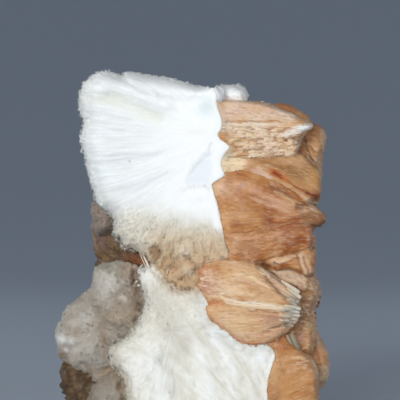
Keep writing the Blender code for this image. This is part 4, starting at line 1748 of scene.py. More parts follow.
def make_sheaf_second():
    make_leaf(
        "sheaf_second", "stilbite_sheaf_second", SHEAF_SECOND, (262, 170),
        (-23.8, -10.0, -1.0),
        [[(195, 138), (240, 139), (280, 140), (328, 150)],
         [(195, 152), (240, 152), (280, 156), (328, 172)],
         [(195, 168), (240, 168), (280, 176), (328, 192)],
         [(195, 184), (240, 180), (280, 190), (328, 206)],
         [(195, 200), (240, 198), (280, 208), (328, 218)]],
        102, 400, 48, (0.28, 0.60), (
            # the pale lobe at the left
            plate(0.2, linear((247, 225, 190)), 0.9, 4.0, (205, 148),
                  (226, 148), (243, 149), (248, 160), (243, 170),
                  (238, 176), (228, 178), (216, 174), (206, 164)),
            dab(0, linear((238, 220, 186)), 0.5, 226, 158, 8, 6),
            dab(0, linear((176, 128, 78)), 0.6, 256, 155, 12, 5),
            dab(0, OLIVE, 0.5, 290, 168, 30, 16),
            dab(0, linear((152, 112, 70)), 0.45, 302, 174, 16, 13),
            dab(0, CLAY, 0.35, 276, 160, 16, 5),
            dab(0, linear((216, 176, 134)), 0.6, 300, 158, 10, 5),
            dab(0, linear((198, 160, 106)), 0.5, 312, 180, 9, 12),
            line(0.25, linear((212, 172, 126)), 0.5, 2.2, (262, 153),
                 (284, 160), (306, 170)),
            line(-0.2, linear((150, 104, 62)), 0.5, 1.6, (250, 158),
                 (270, 164), (292, 172), (308, 182)),
            # the pinkish patch, the white chip, painted bright as a glint, and
            # the red cracks
            plate(0.2, linear((230, 196, 176)), 0.7, 2.2, (250, 169),
                  (261, 167.5), (268, 173), (274, 181), (270, 185),
                  (262, 183), (254, 177)),
            plate(0.45, linear((246, 230, 208)), 0.9, 1.2, (261, 178),
                  (267, 178), (271.5, 181), (267, 184), (262, 182)),
            dab(-0.3, RUST, 0.8, 250.2, 173.6, 2.6, 2.0),
            dab(-0.2, AMBER, 0.8, 236, 175, 5, 2.2),
            dab(-0.2, EMBER, 0.5, 243, 172, 4, 2.0),
            plate(-0.5, EMBER, 0.9, 1.8, (268, 168), (275, 169.5),
                  (286, 175.5), (291, 182), (281, 180.5), (273, 176)),
            line(-0.4, BRICK, 1.0, 1.7, (273, 171), (278, 175), (283, 178)),
            line(-0.7, RUST, 0.75, 1.4, (287, 181), (297, 187.5),
                 (309, 193.5)),
            line(-0.9, BRICK * 0.8, 1.0, 2.0, (305, 192.5), (312, 195),
                 (321, 197.5)),
            dab(-0.3, UMBER, 0.6, 289, 167.3, 1.7, 0.9),
            # the pale slab below the crack
            plate(0.6, linear((228, 200, 170)), 0.75, 1.3, (300, 195.5),
                  (309, 197.5), (319, 201.5), (317, 206), (308, 204.5),
                  (299, 200)),
        ),
        lean=(3.5, 0.0), middle=(268, 172),
        radius=turn(SECOND_SHOULDER),
        under=("sheaf_top", "fan_right", "fan_upper"),
        edge=fall(SECOND_SHOULDER, -23.0, -13.0),
        rim=0.15, streaks=0.8,
    )


def make_fan_right():
    make_leaf(
        "fan_right", "stilbite_fan_right", FAN_RIGHT, (262, 218),
        (-25.0, -10.0, 0.0),
        [[(195, 164), (228, 170), (262, 180), (296, 194), (332, 206)],
         [(195, 184), (236, 188), (270, 200), (300, 210), (332, 216)],
         [(195, 204), (240, 207), (276, 213), (332, 220)],
         [(195, 220), (250, 219), (300, 218), (332, 222)],
         [(195, 234), (250, 232), (290, 225), (332, 226)],
         [(195, 252), (250, 247), (300, 240), (332, 238)],
         [(195, 272), (250, 268), (300, 260), (332, 256)]],
        103, 450, 56, (0.50, 0.69), (
            # the bright lobes at the upper left
            dab(0.3, linear((234, 204, 176)), 0.75, 219, 187, 9, 8),
            dab(0, linear((228, 186, 158)), 0.5, 232, 192, 12, 8),
            line(0.3, linear((224, 180, 150)), 0.55, 4.0, (226, 178),
                 (250, 189), (272, 199), (291, 208)),
            dab(0, ROSY, 0.7, 243, 185.5, 4.0, 2.0),
            line(-0.4, AMBER, 0.5, 1.8, (226, 174), (242, 177),
                 (258, 181)),
            line(-0.6, UMBER * 1.3, 0.65, 1.8, (266, 185), (280, 191.5),
                 (297, 201)),
            dab(-0.2, linear((150, 104, 66)), 0.5, 284, 190, 12, 4),
            line(0.25, PEACH, 0.55, 1.8, (272, 190), (286, 197),
                 (298, 204)),
            line(0.25, PETAL, 0.45, 2.4, (250, 198), (272, 206),
                 (294, 214)),
            dab(-0.1, RUST, 0.5, 252, 203, 6, 1.6),
            dab(-0.1, RUST, 0.55, 254, 209.5, 5, 1.9),
            line(-0.15, RUST, 0.35, 1.4, (234, 195), (250, 200),
                 (266, 207)),
            line(-0.15, AMBER, 0.4, 1.6, (224, 206), (246, 209),
                 (270, 213)),
            dab(0.1, linear((226, 184, 140)), 0.45, 236, 217, 15, 7),
            dab(0, linear((216, 168, 128)), 0.4, 286, 214, 12, 5),
            line(-0.3, RUST, 0.5, 1.3, (276, 225), (292, 220), (313, 216)),
            line(-0.35, RUST, 0.6, 1.6, (224, 233), (250, 232.5),
                 (271, 230), (291, 224)),
            line(-0.3, RUST, 0.5, 1.2, (268, 232), (290, 225.5),
                 (311, 220.5)),
            plate(-0.2, RUST, 0.28, 3.5, (240, 234), (256, 234),
                  (272, 232), (292, 227), (316, 224), (320, 256),
                  (240, 268)),
            dab(0, linear((226, 178, 136)), 0.5, 226, 249, 10, 12),
            line(0.2, linear((226, 176, 140)), 0.5, 2.0, (232, 239),
                 (262, 238), (286, 233)),
            line(0.2, linear((222, 170, 132)), 0.5, 1.6, (272, 221),
                 (290, 216), (308, 212)),
            # the blocky right end, painted darker as shade where it turns away
            # to the right
            plate(0.6, linear((152, 108, 72)), 0.65, 1.6, (297, 202),
                  (308, 203), (318, 206), (325, 212), (330, 221),
                  (325, 229), (314, 230), (299, 218)),
            line(-0.3, UMBER, 0.5, 1.2, (296.5, 200), (296.5, 207),
                 (297, 214)),
            dab(-1.0, UMBER, 0.9, 305, 204, 4.6, 2.4),
            dab(-0.6, UMBER, 0.7, 299, 207, 3.2, 1.8),
            plate(0.6, SMOKE * 0.95, 0.7, 1.2, (311, 199), (315, 200),
                  (318, 206), (316, 212), (311, 210)),
            line(0.2, PEACH, 0.5, 1.4, (298, 213), (310, 209.5),
                 (323, 212)),
            dab(0, CLAY * 0.75, 0.45, 318, 221, 8, 5),
            dab(0, linear((118, 78, 48)), 0.4, 310, 222, 13, 9),
            line(-0.3, RUST, 0.5, 1.2, (298, 228), (312, 227), (322, 226)),
        ),
        lean=(2.5, 0.0), middle=(262, 216),
        radius=turn(FAN_SHOULDER), under=("bow_tie", "fan_upper"),
        edge=fall(FAN_SHOULDER, -24.0, -13.0),
        rough=lambda u, v: 0.55 * spot(u, v, 306, 206, 10, 7)
        + 0.3 * rise(v, 228, 240), rim=0.2,
    )


def make_sheaf_fourth():
    make_leaf(
        "sheaf_fourth", "stilbite_sheaf_fourth", SHEAF_FOURTH, (262, 256),
        (-23.6, -9.0, 0.0),
        [[(195, 226), (250, 227), (300, 225), (328, 226)],
         [(195, 244), (250, 242), (300, 242), (328, 244)],
         [(195, 256), (240, 254), (290, 253), (328, 254)],
         [(195, 268), (240, 266), (280, 266), (328, 262)],
         [(195, 286), (240, 284), (280, 284), (328, 282)]],
        104, 380, 44, (0.20, 0.54), (
            line(-0.25, RUST, 0.5, 1.5, (232, 243), (262, 242.5),
                 (292, 242)),
            line(0.15, PEACH, 0.5, 1.8, (236, 240), (262, 239.5),
                 (286, 239)),
            # the middle lobe
            plate(0.7, linear((222, 178, 138)), 0.55, 2.6, (233, 247),
                  (240, 244.5), (262, 245), (283, 247), (291, 252),
                  (285, 258), (274, 263), (262, 265), (248, 261.5),
                  (237, 256.5)),
            # a painted highlight along the top of the lobe
            line(0.2, PETAL, 0.7, 2.0, (235, 247), (244, 245.8),
                 (258, 246.5)),
            line(-0.1, AMBER, 0.35, 1.6, (244, 251), (262, 252),
                 (284, 251)),
            line(-0.9, BRICK, 0.9, 1.6, (231.5, 246), (232.5, 252),
                 (234.5, 256), (239, 259.5)),
            dab(-0.5, UMBER, 0.9, 232.3, 248.6, 1.3, 1.2),
            dab(-0.2, EMBER, 0.75, 228, 251, 4, 9),
            line(-0.4, RUST, 0.65, 1.6, (238, 259.5), (252, 262.8),
                 (266, 265.8), (274, 267)),
            # the pale tapered prism
            plate(0.9, linear((226, 192, 162)), 0.8, 1.1, (270, 264.5),
                  (276, 260.5), (290, 255.5), (297, 254), (297, 258),
                  (290, 260.5), (279, 264)),
            dab(0, CLAY, 0.5, 292, 249, 10, 5),
            line(-0.5, EMBER * 0.8, 0.85, 2.2, (272, 268.5), (281, 266.5),
                 (290, 263.5)),
            # upright blades near the right border
            plate(0.8, linear((218, 192, 164)), 0.75, 1.0, (298, 254),
                  (303, 253), (309, 275), (303.5, 276.5)),
            plate(0.6, linear((206, 176, 146)), 0.7, 1.0, (304, 254),
                  (308, 254), (313.5, 273), (309.5, 275)),
            line(-0.4, CLAY * 0.7, 0.6, 0.9, (303.5, 254), (309.3, 275)),
            dab(0, RUST, 0.5, 311, 241, 6, 9),
            line(-0.4, UMBER, 0.5, 1.2, (296, 252), (300, 264), (303, 274)),
        ),
        lean=(3.0, 0.0), middle=(272, 257),
        radius=turn(FOURTH_SHOULDER),
        under=("fan_right", "bow_tie", "fan_upper"),
        edge=fall(FOURTH_SHOULDER, -22.8, -13.0),
        rough=lambda u, v: 0.5 * spot(u, v, 290, 252, 14, 8)
        + 0.5 * spot(u, v, 312, 244, 7, 9)
        + 0.4 * stroke(u, v, 3, (292, 262), (300, 274), fade=0),
        rim=0.3,
    )


def make_bow_tie():
    make_leaf(
        "bow_tie", "stilbite_bow_tie", BOW_TIE, (250, 304),
        (-27.9, -12.0, -1.0),
        [[(190, 252), (225, 254), (256, 259), (284, 276), (306, 292)],
         [(190, 266), (228, 267), (256, 273), (284, 288), (306, 298)],
         [(190, 284), (225, 283), (256, 290), (284, 298), (306, 303)],
         [(190, 300), (225, 299), (256, 302), (306, 307)],
         [(190, 314), (225, 311), (256, 311), (284, 312), (306, 310)],
         [(190, 330), (225, 325), (256, 322), (284, 319), (306, 314)],
         [(190, 348), (225, 340), (256, 336), (284, 330), (306, 320)],
         [(190, 364), (225, 358), (256, 354), (284, 346), (306, 330)]],
        105, 510, 62, (0.26, 0.38), (
            # the lower lobe
            plate(0.35, linear((220, 184, 142)), 0.5, 3.0, (208, 308),
                  (215, 305), (232, 307), (252, 310), (276, 310.5),
                  (285, 312), (291, 318), (288, 327), (276, 335),
                  (262, 341), (250, 341), (238, 337), (226, 329),
                  (216, 320)),
            dab(0, STRAW, 0.45, 240, 320, 13, 9),
            line(-0.15, EMBER, 0.5, 2.4, (206, 312), (215, 322.5),
                 (227, 332), (239, 340), (252, 344.5), (268, 343.5)),
            dab(0, linear((224, 184, 162)), 0.45, 226, 318, 9, 5),
            dab(0, linear((222, 180, 152)), 0.6, 264, 336, 13, 5),
            dab(0, linear((214, 164, 148)), 0.45, 274, 320, 10, 5),
            # the cream ridge between the lobes
            plate(0.9, linear((240, 218, 186)), 0.85, 2.0, (219, 296.5),
                  (229, 299), (241, 301.5), (262, 302.5), (280, 305),
                  (297, 307.5), (291, 311.5), (272, 309.5), (255, 308.5),
                  (240, 307.5), (226, 304.5)),
            line(0.2, CHALK, 0.6, 1.2, (224, 298.5), (242, 303),
                 (264, 304.5), (288, 307.5)),
            line(-0.45, RUST, 0.6, 1.4, (246, 310.5), (262, 311.5),
                 (282, 313)),
            line(-0.25, linear((190, 130, 106)), 0.4, 1.4, (240, 314),
                 (256, 315.5), (276, 317.5)),
            line(-0.3, linear((190, 140, 124)), 0.6, 1.9, (266, 316),
                 (278, 318), (287, 319)),
            line(-0.15, AMBER, 0.45, 1.6, (226, 295.5), (244, 298),
                 (262, 299)),
            # the upper lobe
            plate(0.4, linear((226, 192, 150)), 0.45, 3.0, (222, 268),
                  (236, 263), (246, 262), (257, 266), (266, 276),
                  (274, 288), (284, 297), (286, 302), (268, 300),
                  (246, 298), (226, 294), (218, 284)),
            line(0.25, linear((240, 218, 184)), 0.7, 2.0, (233, 273),
                 (246, 275.5), (257, 280), (265, 285.5), (271, 291)),
            line(0.2, linear((236, 210, 176)), 0.55, 1.8, (226, 290),
                 (240, 292), (257, 295.5)),
            line(-0.15, AMBER, 0.4, 1.4, (232, 281), (248, 284),
                 (262, 290)),
            line(0.15, PETAL, 0.4, 1.4, (228, 278), (244, 279.5),
                 (258, 285.5)),
            dab(0, linear((214, 170, 126)), 0.5, 232, 268, 10, 5),
            # the fibrous plate along the top right, and the crack below it
            plate(0.7, linear((228, 200, 172)), 0.7, 1.6, (256, 263.5),
                  (263, 266.5), (274, 274), (284, 281.5), (300, 292.5),
                  (299, 303), (290, 303), (281, 296), (271, 284.5),
                  (262, 273)),
            line(0.3, linear((250, 234, 206)), 0.85, 1.5, (257, 265),
                 (271, 273), (284, 281.5), (299, 292)),
            line(-0.7, UMBER * 1.1, 0.7, 1.9, (263, 272.5), (268, 280),
                 (276, 289), (284, 297), (290, 302)),
            line(-0.25, RUST, 0.5, 1.2, (268, 273), (278, 282),
                 (290, 292)),
            line(0.25, linear((236, 210, 184)), 0.5, 1.0, (273, 278),
                 (284, 287.5), (292, 295)),
            line(0.15, linear((240, 232, 222)), 0.7, 1.4, (294.5, 306),
                 (299.5, 310), (298.5, 317), (294, 325)),
            dab(0, linear((164, 118, 88)), 0.5, 274, 321, 12, 7),
            # fanned ends of the plates inside that rim
            line(0.35, linear((232, 216, 196)), 0.8, 1.0, (276, 309.5),
                 (288, 312), (298, 314)),
            line(0.35, linear((222, 204, 184)), 0.8, 1.0, (278, 313.5),
                 (288, 316), (297.5, 318.5)),
            line(0.35, linear((230, 212, 192)), 0.8, 1.0, (278, 319.5),
                 (288, 321), (296, 322)),
            line(-0.4, UMBER * 1.2, 0.5, 0.8, (280, 311.5), (290, 314),
                 (298, 316)),
            line(-0.4, UMBER * 1.2, 0.5, 0.8, (280, 317), (290, 319),
                 (297, 320.5)),
            # the knobs and the pink skin at the left
            dab(0, linear((208, 158, 138)), 0.6, 207, 281, 9, 15),
            dab(0.6, linear((230, 194, 172)), 0.65, 205, 286, 3.2, 2.8),
            dab(0.5, linear((230, 196, 176)), 0.65, 211, 283, 2.8, 2.4),
            dab(0.5, linear((224, 184, 162)), 0.55, 206, 292, 2.8, 2.2),
            dab(0.5, linear((226, 186, 166)), 0.55, 203, 279, 2.4, 2.4),
            dab(0.4, linear((226, 184, 160)), 0.5, 213, 290, 3.0, 2.6),
            dab(-0.3, EMBER, 0.6, 203, 268, 6, 4),
            dab(-0.3, RUST, 0.45, 206, 274, 4, 3),
            dab(0, AMBER, 0.5, 214, 266, 7, 3),
            dab(-0.3, EMBER, 0.75, 214, 302.5, 8, 3.0),
            # the gaps under the lower lobe's right end, painted dark as shade
            dab(0.2, linear((206, 150, 134)), 0.6, 282, 330.5, 6, 2.4),
            line(-0.6, UMBER, 0.75, 1.2, (268, 329.5), (278, 326.5),
                 (291, 323)),
            line(-0.4, RUST, 0.5, 1.4, (262, 332), (272, 331)),
        ),
        lean=(2.0, 0.0), middle=(250, 304), square=2.1,
        radius=turn(BOW_SHOULDER, 6.0, 24.0),
        plates=(0.10, 0.11), fine=0.09, streaks=1.3, crinkle=2.6,
        edge=fall(BOW_SHOULDER, -24.5, -17.0, 12.0),
        rough=lambda u, v: 0.9 * stroke(u, v, 3.2, (263, 272), (276, 288),
                                        (291, 303), fade=0)
        + 0.8 * spot(u, v, 205, 281, 9, 17)
        + 0.5 * stroke(u, v, 4, (284, 318), (297, 314), fade=0)
        + 0.5 * spot(u, v, 280, 331, 11, 4), rim=0.45,
        blades=[
            # broken ends of the plates at the right
            (281, 280.5, -27.3, 3, 299.5, 293, -25.2, 5, 1.6,
             linear((230, 204, 174)), linear((246, 236, 220))),
            (287, 288, -27.2, 3, 301, 298, -25.4, 4.4, 1.6,
             linear((222, 194, 164)), linear((242, 230, 212))),
            (284, 293.5, -27.3, 2.6, 298, 302.5, -25.6, 3.8, 1.6,
             linear((218, 188, 156)), linear((236, 222, 206))),
            (286, 300, -27.3, 2.6, 296.5, 305.5, -25.8, 3.4, 1.6,
             linear((206, 166, 132)), linear((226, 206, 186))),
            (284, 305.5, -27.6, 3, 301, 309, -25.4, 4.2, 1.6,
             linear((236, 212, 182)), linear((244, 230, 210))),
            (283, 309.5, -27.5, 2.8, 299.5, 312.5, -25.4, 3.6, 1.6,
             linear((228, 200, 170)), linear((234, 220, 204))),
            (284, 313.5, -27.3, 2.6, 300, 316, -25.2, 3.8, 1.6,
             linear((216, 180, 148)), linear((232, 216, 198))),
            (283, 317.5, -27.2, 2.6, 297.5, 319.5, -25.2, 3.4, 1.6,
             linear((210, 170, 138)), linear((228, 208, 188))),
            (283, 321.5, -27, 2.6, 296, 322, -25, 3.6, 1.6,
             linear((202, 158, 126)), linear((220, 196, 172))),
            (281, 325.5, -26.8, 2.6, 293.5, 326, -24.8, 3.2, 1.5,
             linear((196, 150, 116)), linear((214, 184, 158))),
            (291, 333, -22.0, 4.5, 297.5, 350, -20.4, 7.0, 2.2,
             linear((168, 158, 138)), linear((150, 142, 122))),
            (286.5, 335, -22.3, 3.0, 292, 345, -21.3, 4.0, 1.8,
             linear((186, 170, 144)), linear((166, 150, 124))),
        ],
    )


def make_base_right():
    make_leaf(
        "base_right", "stilbite_base_right", BASE_RIGHT, (286, 400),
        (-22.6, -8.0, 3.0),
        [[(235, 318), (270, 326), (300, 328), (328, 334)],
         [(235, 352), (270, 348), (300, 348), (328, 350)],
         [(235, 384), (270, 374), (300, 366), (328, 362)],
         [(235, 410), (270, 402), (300, 392), (328, 384)],
         [(235, 480), (270, 478), (300, 478), (328, 478)]],
        106, 310, 44, (0.40, 0.46), (
            dab(0, linear((222, 184, 138)), 0.5, 272, 368, 7, 18),
            # the orange hollow above it, under the bow-tie, its darkness partly
            # painted shade
            dab(-0.5, linear((192, 122, 74)), 0.85, 279, 342, 12, 7),
            dab(-0.3, linear((150, 92, 52)), 0.6, 288, 344, 5, 6),
            line(0.25, PEACH, 0.5, 2.0, (286, 373), (298, 369),
                 (308, 364.5)),
            dab(0, linear((208, 158, 104)), 0.6, 288, 388, 22, 18),
            line(0.15, TAN, 0.3, 3, (276, 372), (292, 368)),
            dab(-0.2, RUST, 0.5, 306, 362, 7, 3.6),
            dab(-0.2, UMBER * 1.3, 0.45, 311, 366, 5, 4),
            line(0.35, linear((226, 196, 160)), 0.6, 1.4, (310, 357),
                 (316, 365), (318.5, 378)),
            line(-0.25, CLAY * 0.8, 0.5, 2.4, (314, 366), (316, 380),
                 (317, 400)),
            dab(0, linear((166, 118, 76)), 0.4, 310, 398, 8, 14),
        ),
        lean=(2.0, 0.0), middle=(286, 404),
        radius=turn(BASE_SHOULDER, 7.0, 14.0),
        under=("fan_lower",), reach=14.0,
        fine=0.03, streaks=0.55, rim=0.1,
        edge=fall(BASE_SHOULDER, -21.9, -10.0, 10.0),
        rough=lambda u, v: 0.8 * spot(u, v, 303, 361, 12, 7)
        + 0.4 * rise(u, 309, 318) + 0.3 * spot(u, v, 280, 352, 12, 5),
    )


def make_rear_stilbite():
    make_leaf(
        "sheaf_top_rear", "stilbite_sheaf_top_rear", SHEAF_TOP_REAR,
        (304, 148), (-14.5, -2.0, 11.0),
        [[(250, 86), (290, 92), (332, 106)], [(250, 108), (290, 120),
         (332, 146)], [(250, 128), (290, 150), (332, 184)],
         [(250, 160), (290, 182), (332, 214)]],
        107, 300, 24, (0.63, 0.60), (
            dab(0.3, linear((206, 164, 118)), 0.6, 318, 146, 8, 14),
            dab(0, EMBER, 0.6, 296, 107, 14, 4),
            dab(0, EMBER, 0.5, 280, 104, 12, 2.5),
            dab(0, linear((196, 150, 110)), 0.5, 300, 113, 8, 3),
            line(-0.5, UMBER, 0.6, 2.0, (303, 134), (308, 150),
                 (314, 166)),
            line(0.4, linear((222, 180, 134)), 0.6, 1.6, (306, 140),
                 (312, 154), (319, 168)),
            line(0.3, linear((214, 170, 126)), 0.6, 1.3, (300, 148),
                 (308, 160), (316, 174)),
            line(0.3, linear((210, 166, 124)), 0.5, 1.3, (296, 154),
                 (304, 166), (314, 180)),
            line(-0.4, RUST, 0.6, 1.6, (298, 146), (305, 159),
                 (313, 173)),
            dab(0, RUST, 0.35, 312, 168, 9, 9),
        ),
        lean=(6.0, 0.0), middle=(304, 146), back=13, crinkle=1.8,
        rough=lambda u, v: 0.8 * spot(u, v, 310, 158, 13, 18),
        far_base=0.5, radius=9.0, far_plates=0.45,
    )
    make_leaf(
        "sheaf_rear_right", "stilbite_sheaf_rear_right", SHEAF_REAR_RIGHT,
        (296, 308), (-17.5, -4.0, 8.0),
        [[(256, 244), (290, 252), (332, 258)], [(256, 268), (290, 278),
         (332, 290)], [(256, 300), (290, 306), (332, 312)],
         [(256, 330), (290, 334), (332, 336)],
         [(256, 364), (290, 364), (332, 364)]],
        108, 320, 36, (0.53, 0.51), (
            # the pale fibrous block
            plate(1.3, linear((216, 194, 166)), 0.8, 2.0, (266, 267),
                  (286, 265), (298, 267), (306, 274), (308.5, 288),
                  (303, 292), (290, 286), (277, 279)),
            # painted highlights along the fibres of the block
            line(0.3, CHALK, 0.5, 1.2, (276, 270), (292, 277),
                 (303, 288)),
            line(0.3, CHALK, 0.4, 1.1, (286, 268), (298, 274),
                 (306, 285)),
            line(-0.3, CLAY, 0.5, 1.0, (280, 271), (295, 279.5),
                 (304, 290)),
            line(-0.3, CLAY, 0.4, 1.0, (290, 269), (301, 276),
                 (307, 287)),
            plate(-1.2, BRICK, 0.95, 1.8, (281, 281), (290, 283),
                  (297, 286.5), (302, 292), (290, 290)),
            dab(0, linear((200, 160, 96)), 0.5, 306, 294, 6, 7),
            # painted shade where the rear sheaf lies back
            dab(0, linear((150, 126, 100)), 0.65, 314, 286, 7, 14),
            dab(0.3, linear((184, 152, 132)), 0.6, 310, 303, 9, 8),
            # painted shade where the rear sheaf lies back
            dab(0, linear((142, 116, 88)), 0.6, 304, 316, 8, 12),
            dab(0.3, linear((214, 176, 122)), 0.6, 311, 329, 6, 9),
            dab(0, PETAL * 0.9, 0.5, 304, 338, 7, 6),
            dab(0, BLUSH * 0.9, 0.5, 315, 290, 3, 2),
        ),
        lean=(5.0, 0.0), middle=(299, 308), back=13, crinkle=1.8,
        rough=lambda u, v: 0.75 - 0.5 * spot(u, v, 290, 276, 14, 9),
        far_base=0.45, radius=9.0, far_plates=0.45,
    )
    make_leaf(
        "lobe_lower_right", "stilbite_lobe_lower_right", LOBE_LOWER_RIGHT,
        (309, 362), (-8.5, 3.0, 15.0),
        [[(280, 314), (336, 324)], [(280, 340), (336, 348)],
         [(280, 362), (336, 366)], [(280, 404), (336, 402)]],
        109, 280, 26, (0.28, 0.32), (
            dab(0.3, linear((226, 186, 146)), 0.65, 306, 338, 9, 6),
            dab(0, linear((206, 154, 108)), 0.5, 318, 354, 8, 10),
            dab(0.6, linear((240, 214, 188)), 0.9, 324, 374, 2.0, 2.0),
            dab(0, UMBER, 0.35, 318, 380, 8, 9),
            line(-0.3, RUST, 0.5, 1.6, (313, 344), (318, 356),
                 (322, 368)),
        ),
        back=12, crinkle=1.6, far_base=0.45, radius=9.0,
        rough=lambda u, v: 0.4 * rise(v, 360, 380), far_plates=0.4,
    )
    # the far side, which the front view does not show
    for (name, node, outline, centre, depths, lean, seed, slope) in (
        ("sheaf_back_upper", "stilbite_sheaf_back_upper", BACK_UPPER,
         (238, 166), (10.0, 17.5, 29.0), (-2.0, 0.0), 110, 0.16),
        ("sheaf_back_middle", "stilbite_sheaf_back_middle", BACK_MIDDLE,
         (152, 204), (7.0, 16.0, 29.5), (3.0, 0.0), 111, -0.22),
        ("sheaf_back_lower", "stilbite_sheaf_back_lower", BACK_LOWER,
         (254, 284), (8.0, 17.0, 30.5), (-3.0, 0.0), 112, 0.05),
        ("base_back_right", "stilbite_base_back_right", BACK_BASE_RIGHT,
         (256, 408), (8.0, 15.0, 26.5), (0.0, 0.0), 113, -0.1),
        ("base_back_left", "stilbite_base_back_left", BACK_BASE_LEFT,
         (137, 427), (11.0, 15.0, 26.0), (0.0, 0.0), 114, 0.1),
    ):
        u0, v0 = centre
        # plates that spread to both sides from a waist, like a bow-tie
        guides = [
            [(u0 - 90, v0 + k * 26 + slope * -90), (u0, v0 + k * 11),
             (u0 + 90, v0 + k * 26 + slope * 90)]
            for k in (-4, -2, 0, 2, 4)
        ]
        make_leaf(
            name, node, outline, centre, depths, guides, seed, 280, 5,
            (0.36, 0.44), (), lean=lean, back=27, crinkle=3.0,
            far_base=0.40, radius=12.0, far_plates=1.0, broad=0.9,
            fine=0.12, streaks=1.8,
        )



def make_matrix():
    rng = np.random.default_rng(77)
    body = Body(
        MATRIX, (200, 290), (-8.0, 5.0, 20.0), 380, 26, 13, square=3.0,
        crinkle=1.5, crinkle_size=9.0, seed=78, power=1.3,
    )
    u, v = body.u, body.v
    first, second, mark = cells(body.here(9.0), 81)
    small, _, tone = cells(body.here(3.6), 82)
    body.lift(
        1.2 * (0.5 - first) + 0.5 * mark + 0.9 * (0.5 - small) + 0.3 * tone
        + 0.6 * clouds(body.here(14.0), 83, 3)
    )
    body.settle()
    q = 0.32 + 0.35 * rise(first, 0.3, 0.9) + 0.2 * tone + 0.2 * clouds(
        body.here(16.0), 84, 2)
    tint = ramp(q, linear((176, 150, 112)), linear((138, 112, 78)),
                linear((112, 86, 58)), linear((86, 66, 46)), BARK * 0.8)
    tint = blend(tint, linear((170, 96, 56)),
                 0.65 * spot(u, v, 142, 260, 15, 11))
    tint = tint * (0.86 - 0.22 * rise(v, 330, 370))[..., None]
    tint = blend(tint, ROSY * 0.5, 0.5 * spot(u, v, 100, 238, 9, 10))
    skin = Skin()
    skin.add_body(body, tint, 0.9)
    i, j, at = body.pick(rng, 900, 0.3 + (1 - rise(first, 0.3, 0.8)))
    ahead = body.normal[i, j] + rng.normal(size=(len(i), 3)) * 0.7
    skin.add_shards(
        at - body.normal[i, j] * UNIT, ahead, rng.normal(size=(len(i), 3)),
        rng.uniform(1.2, 2.8, len(i)), rng.uniform(0.9, 2.1, len(i)),
        rng.uniform(0.5, 1.1, len(i)),
        np.clip(tint[i, j] * rng.uniform(0.9, 1.6, (len(i), 1)), 0, 1),
    )
    return skin.make("matrix", MATRIX_LOOK, "stilbite_matrix",
                     sharp=40)

# ------------------------------------------------------------------- assembly

make_fan_upper()
make_bow_tie()
make_fan_lower()

FROST = linear((171, 166, 157))
MIST = linear((200, 195, 187))
BEIGE = linear((150, 132, 111))
HUSK = linear((134, 114, 91))

make_ball(
    "ball_base_left", "scolecite_ball_base_left", BALL_BASE_LEFT, (108, 420),
    (-16.5, -4.0, 9.0), 63, 1800, 280, 30, linear((148, 140, 129)), BEIGE * 0.9,
    under=("fan_lower",), edge=lambda u, v: -4.0 - 5.0 * rise(u, 84, 100),
    marks=(
        # painted brown shade at its top, where it meets the pieces above, and
        # at its left side; the paler raised patch is painted light
        dab(0, BEIGE, 0.8, 114, 372, 14, 9),
        dab(0, linear((176, 150, 116)), 0.6, 124, 386, 6, 16),
        dab(0.5, MIST * 0.7, 0.5, 108, 392, 12, 10),
        dab(-0.5, HUSK, 0.7, 90, 394, 6, 16),
    ),
)
make_ball(
    "ball_upper_left", "scolecite_ball_upper_left", BALL_UPPER_LEFT,
    (119, 294), (-14.0, -3.0, 12.0), 62, 2400, 360, 36, FROST, BEIGE,
    under=("fan_lower",),
    edge=lambda u, v: -3.0 - 6.5 * np.maximum(
        rise(u, 100, 130), rise(v, 280, 306)),
    marks=(
        # painted highlights on its upper left, and painted brown shade on its
        # right side, below it and along its top
        dab(0.8, linear((210, 205, 197)), 0.75, 107, 283, 13, 14),
        dab(-0.3, BEIGE * 0.92, 0.85, 136, 304, 13, 24),
        dab(-0.6, linear((156, 118, 92)), 0.7, 136, 277, 4, 12),
        dab(0, linear((174, 156, 134)), 0.7, 116, 316, 20, 10),
        dab(-0.2, linear((156, 152, 136)), 0.55, 104, 266, 14, 5),
        dab(-0.3, linear((160, 138, 116)), 0.6, 127, 270, 8, 8),
        dab(0.4, CREAM * 0.9, 0.6, 123, 298, 4, 3),
    ),
)
make_ball(
    "ball_left", "scolecite_ball_left", BALL_LEFT, (98, 334),
    (-11.0, 3.0, 22.0), 61, 3000, 410, 42, FROST, BEIGE,
    under=("fan_lower", "ball_base_left", "ball_upper_left"), reach=12.0,
    edge=lambda u, v: 3.0 - 11.0 * rise(u, 82, 106), marks=(
        # painted brown shade on its right side, low down and in the grooves
        # between its lumps; painted highlights at its left, and paler painted
        # light over its middle
        dab(0, BEIGE, 0.75, 132, 322, 14, 26),
        dab(0, linear((176, 158, 136)), 0.5, 112, 306, 14, 10),
        dab(-0.8, HUSK, 0.75, 60, 360, 9, 12),
        dab(-0.3, HUSK * 1.1, 0.65, 78, 374, 16, 7),
        dab(0, linear((186, 160, 130)), 0.7, 112, 372, 12, 9),
        dab(0.8, SNOW * 0.95, 0.7, 60.5, 339, 4.5, 6),
        dab(0.6, SNOW * 0.9, 0.5, 70, 340, 3.5, 3.5),
        dab(0.6, SNOW * 0.92, 0.6, 66.5, 351, 3, 3),
        dab(0.4, MIST, 0.55, 84, 318, 13, 11),
        dab(0.3, MIST, 0.45, 84, 342, 14, 12),
        dab(0.3, MIST * 1.1, 0.5, 72, 322, 5, 5),
        dab(0.3, MIST * 1.1, 0.45, 76, 352, 5, 5),
        dab(-0.2, BEIGE, 0.45, 100, 322, 5, 9),
        line(-0.7, BEIGE * 0.9, 0.5, 5, (92, 292), (104, 302), (120, 306)),
        line(-0.5, BEIGE, 0.5, 4, (100, 330), (106, 346), (104, 362)),
    ),
)
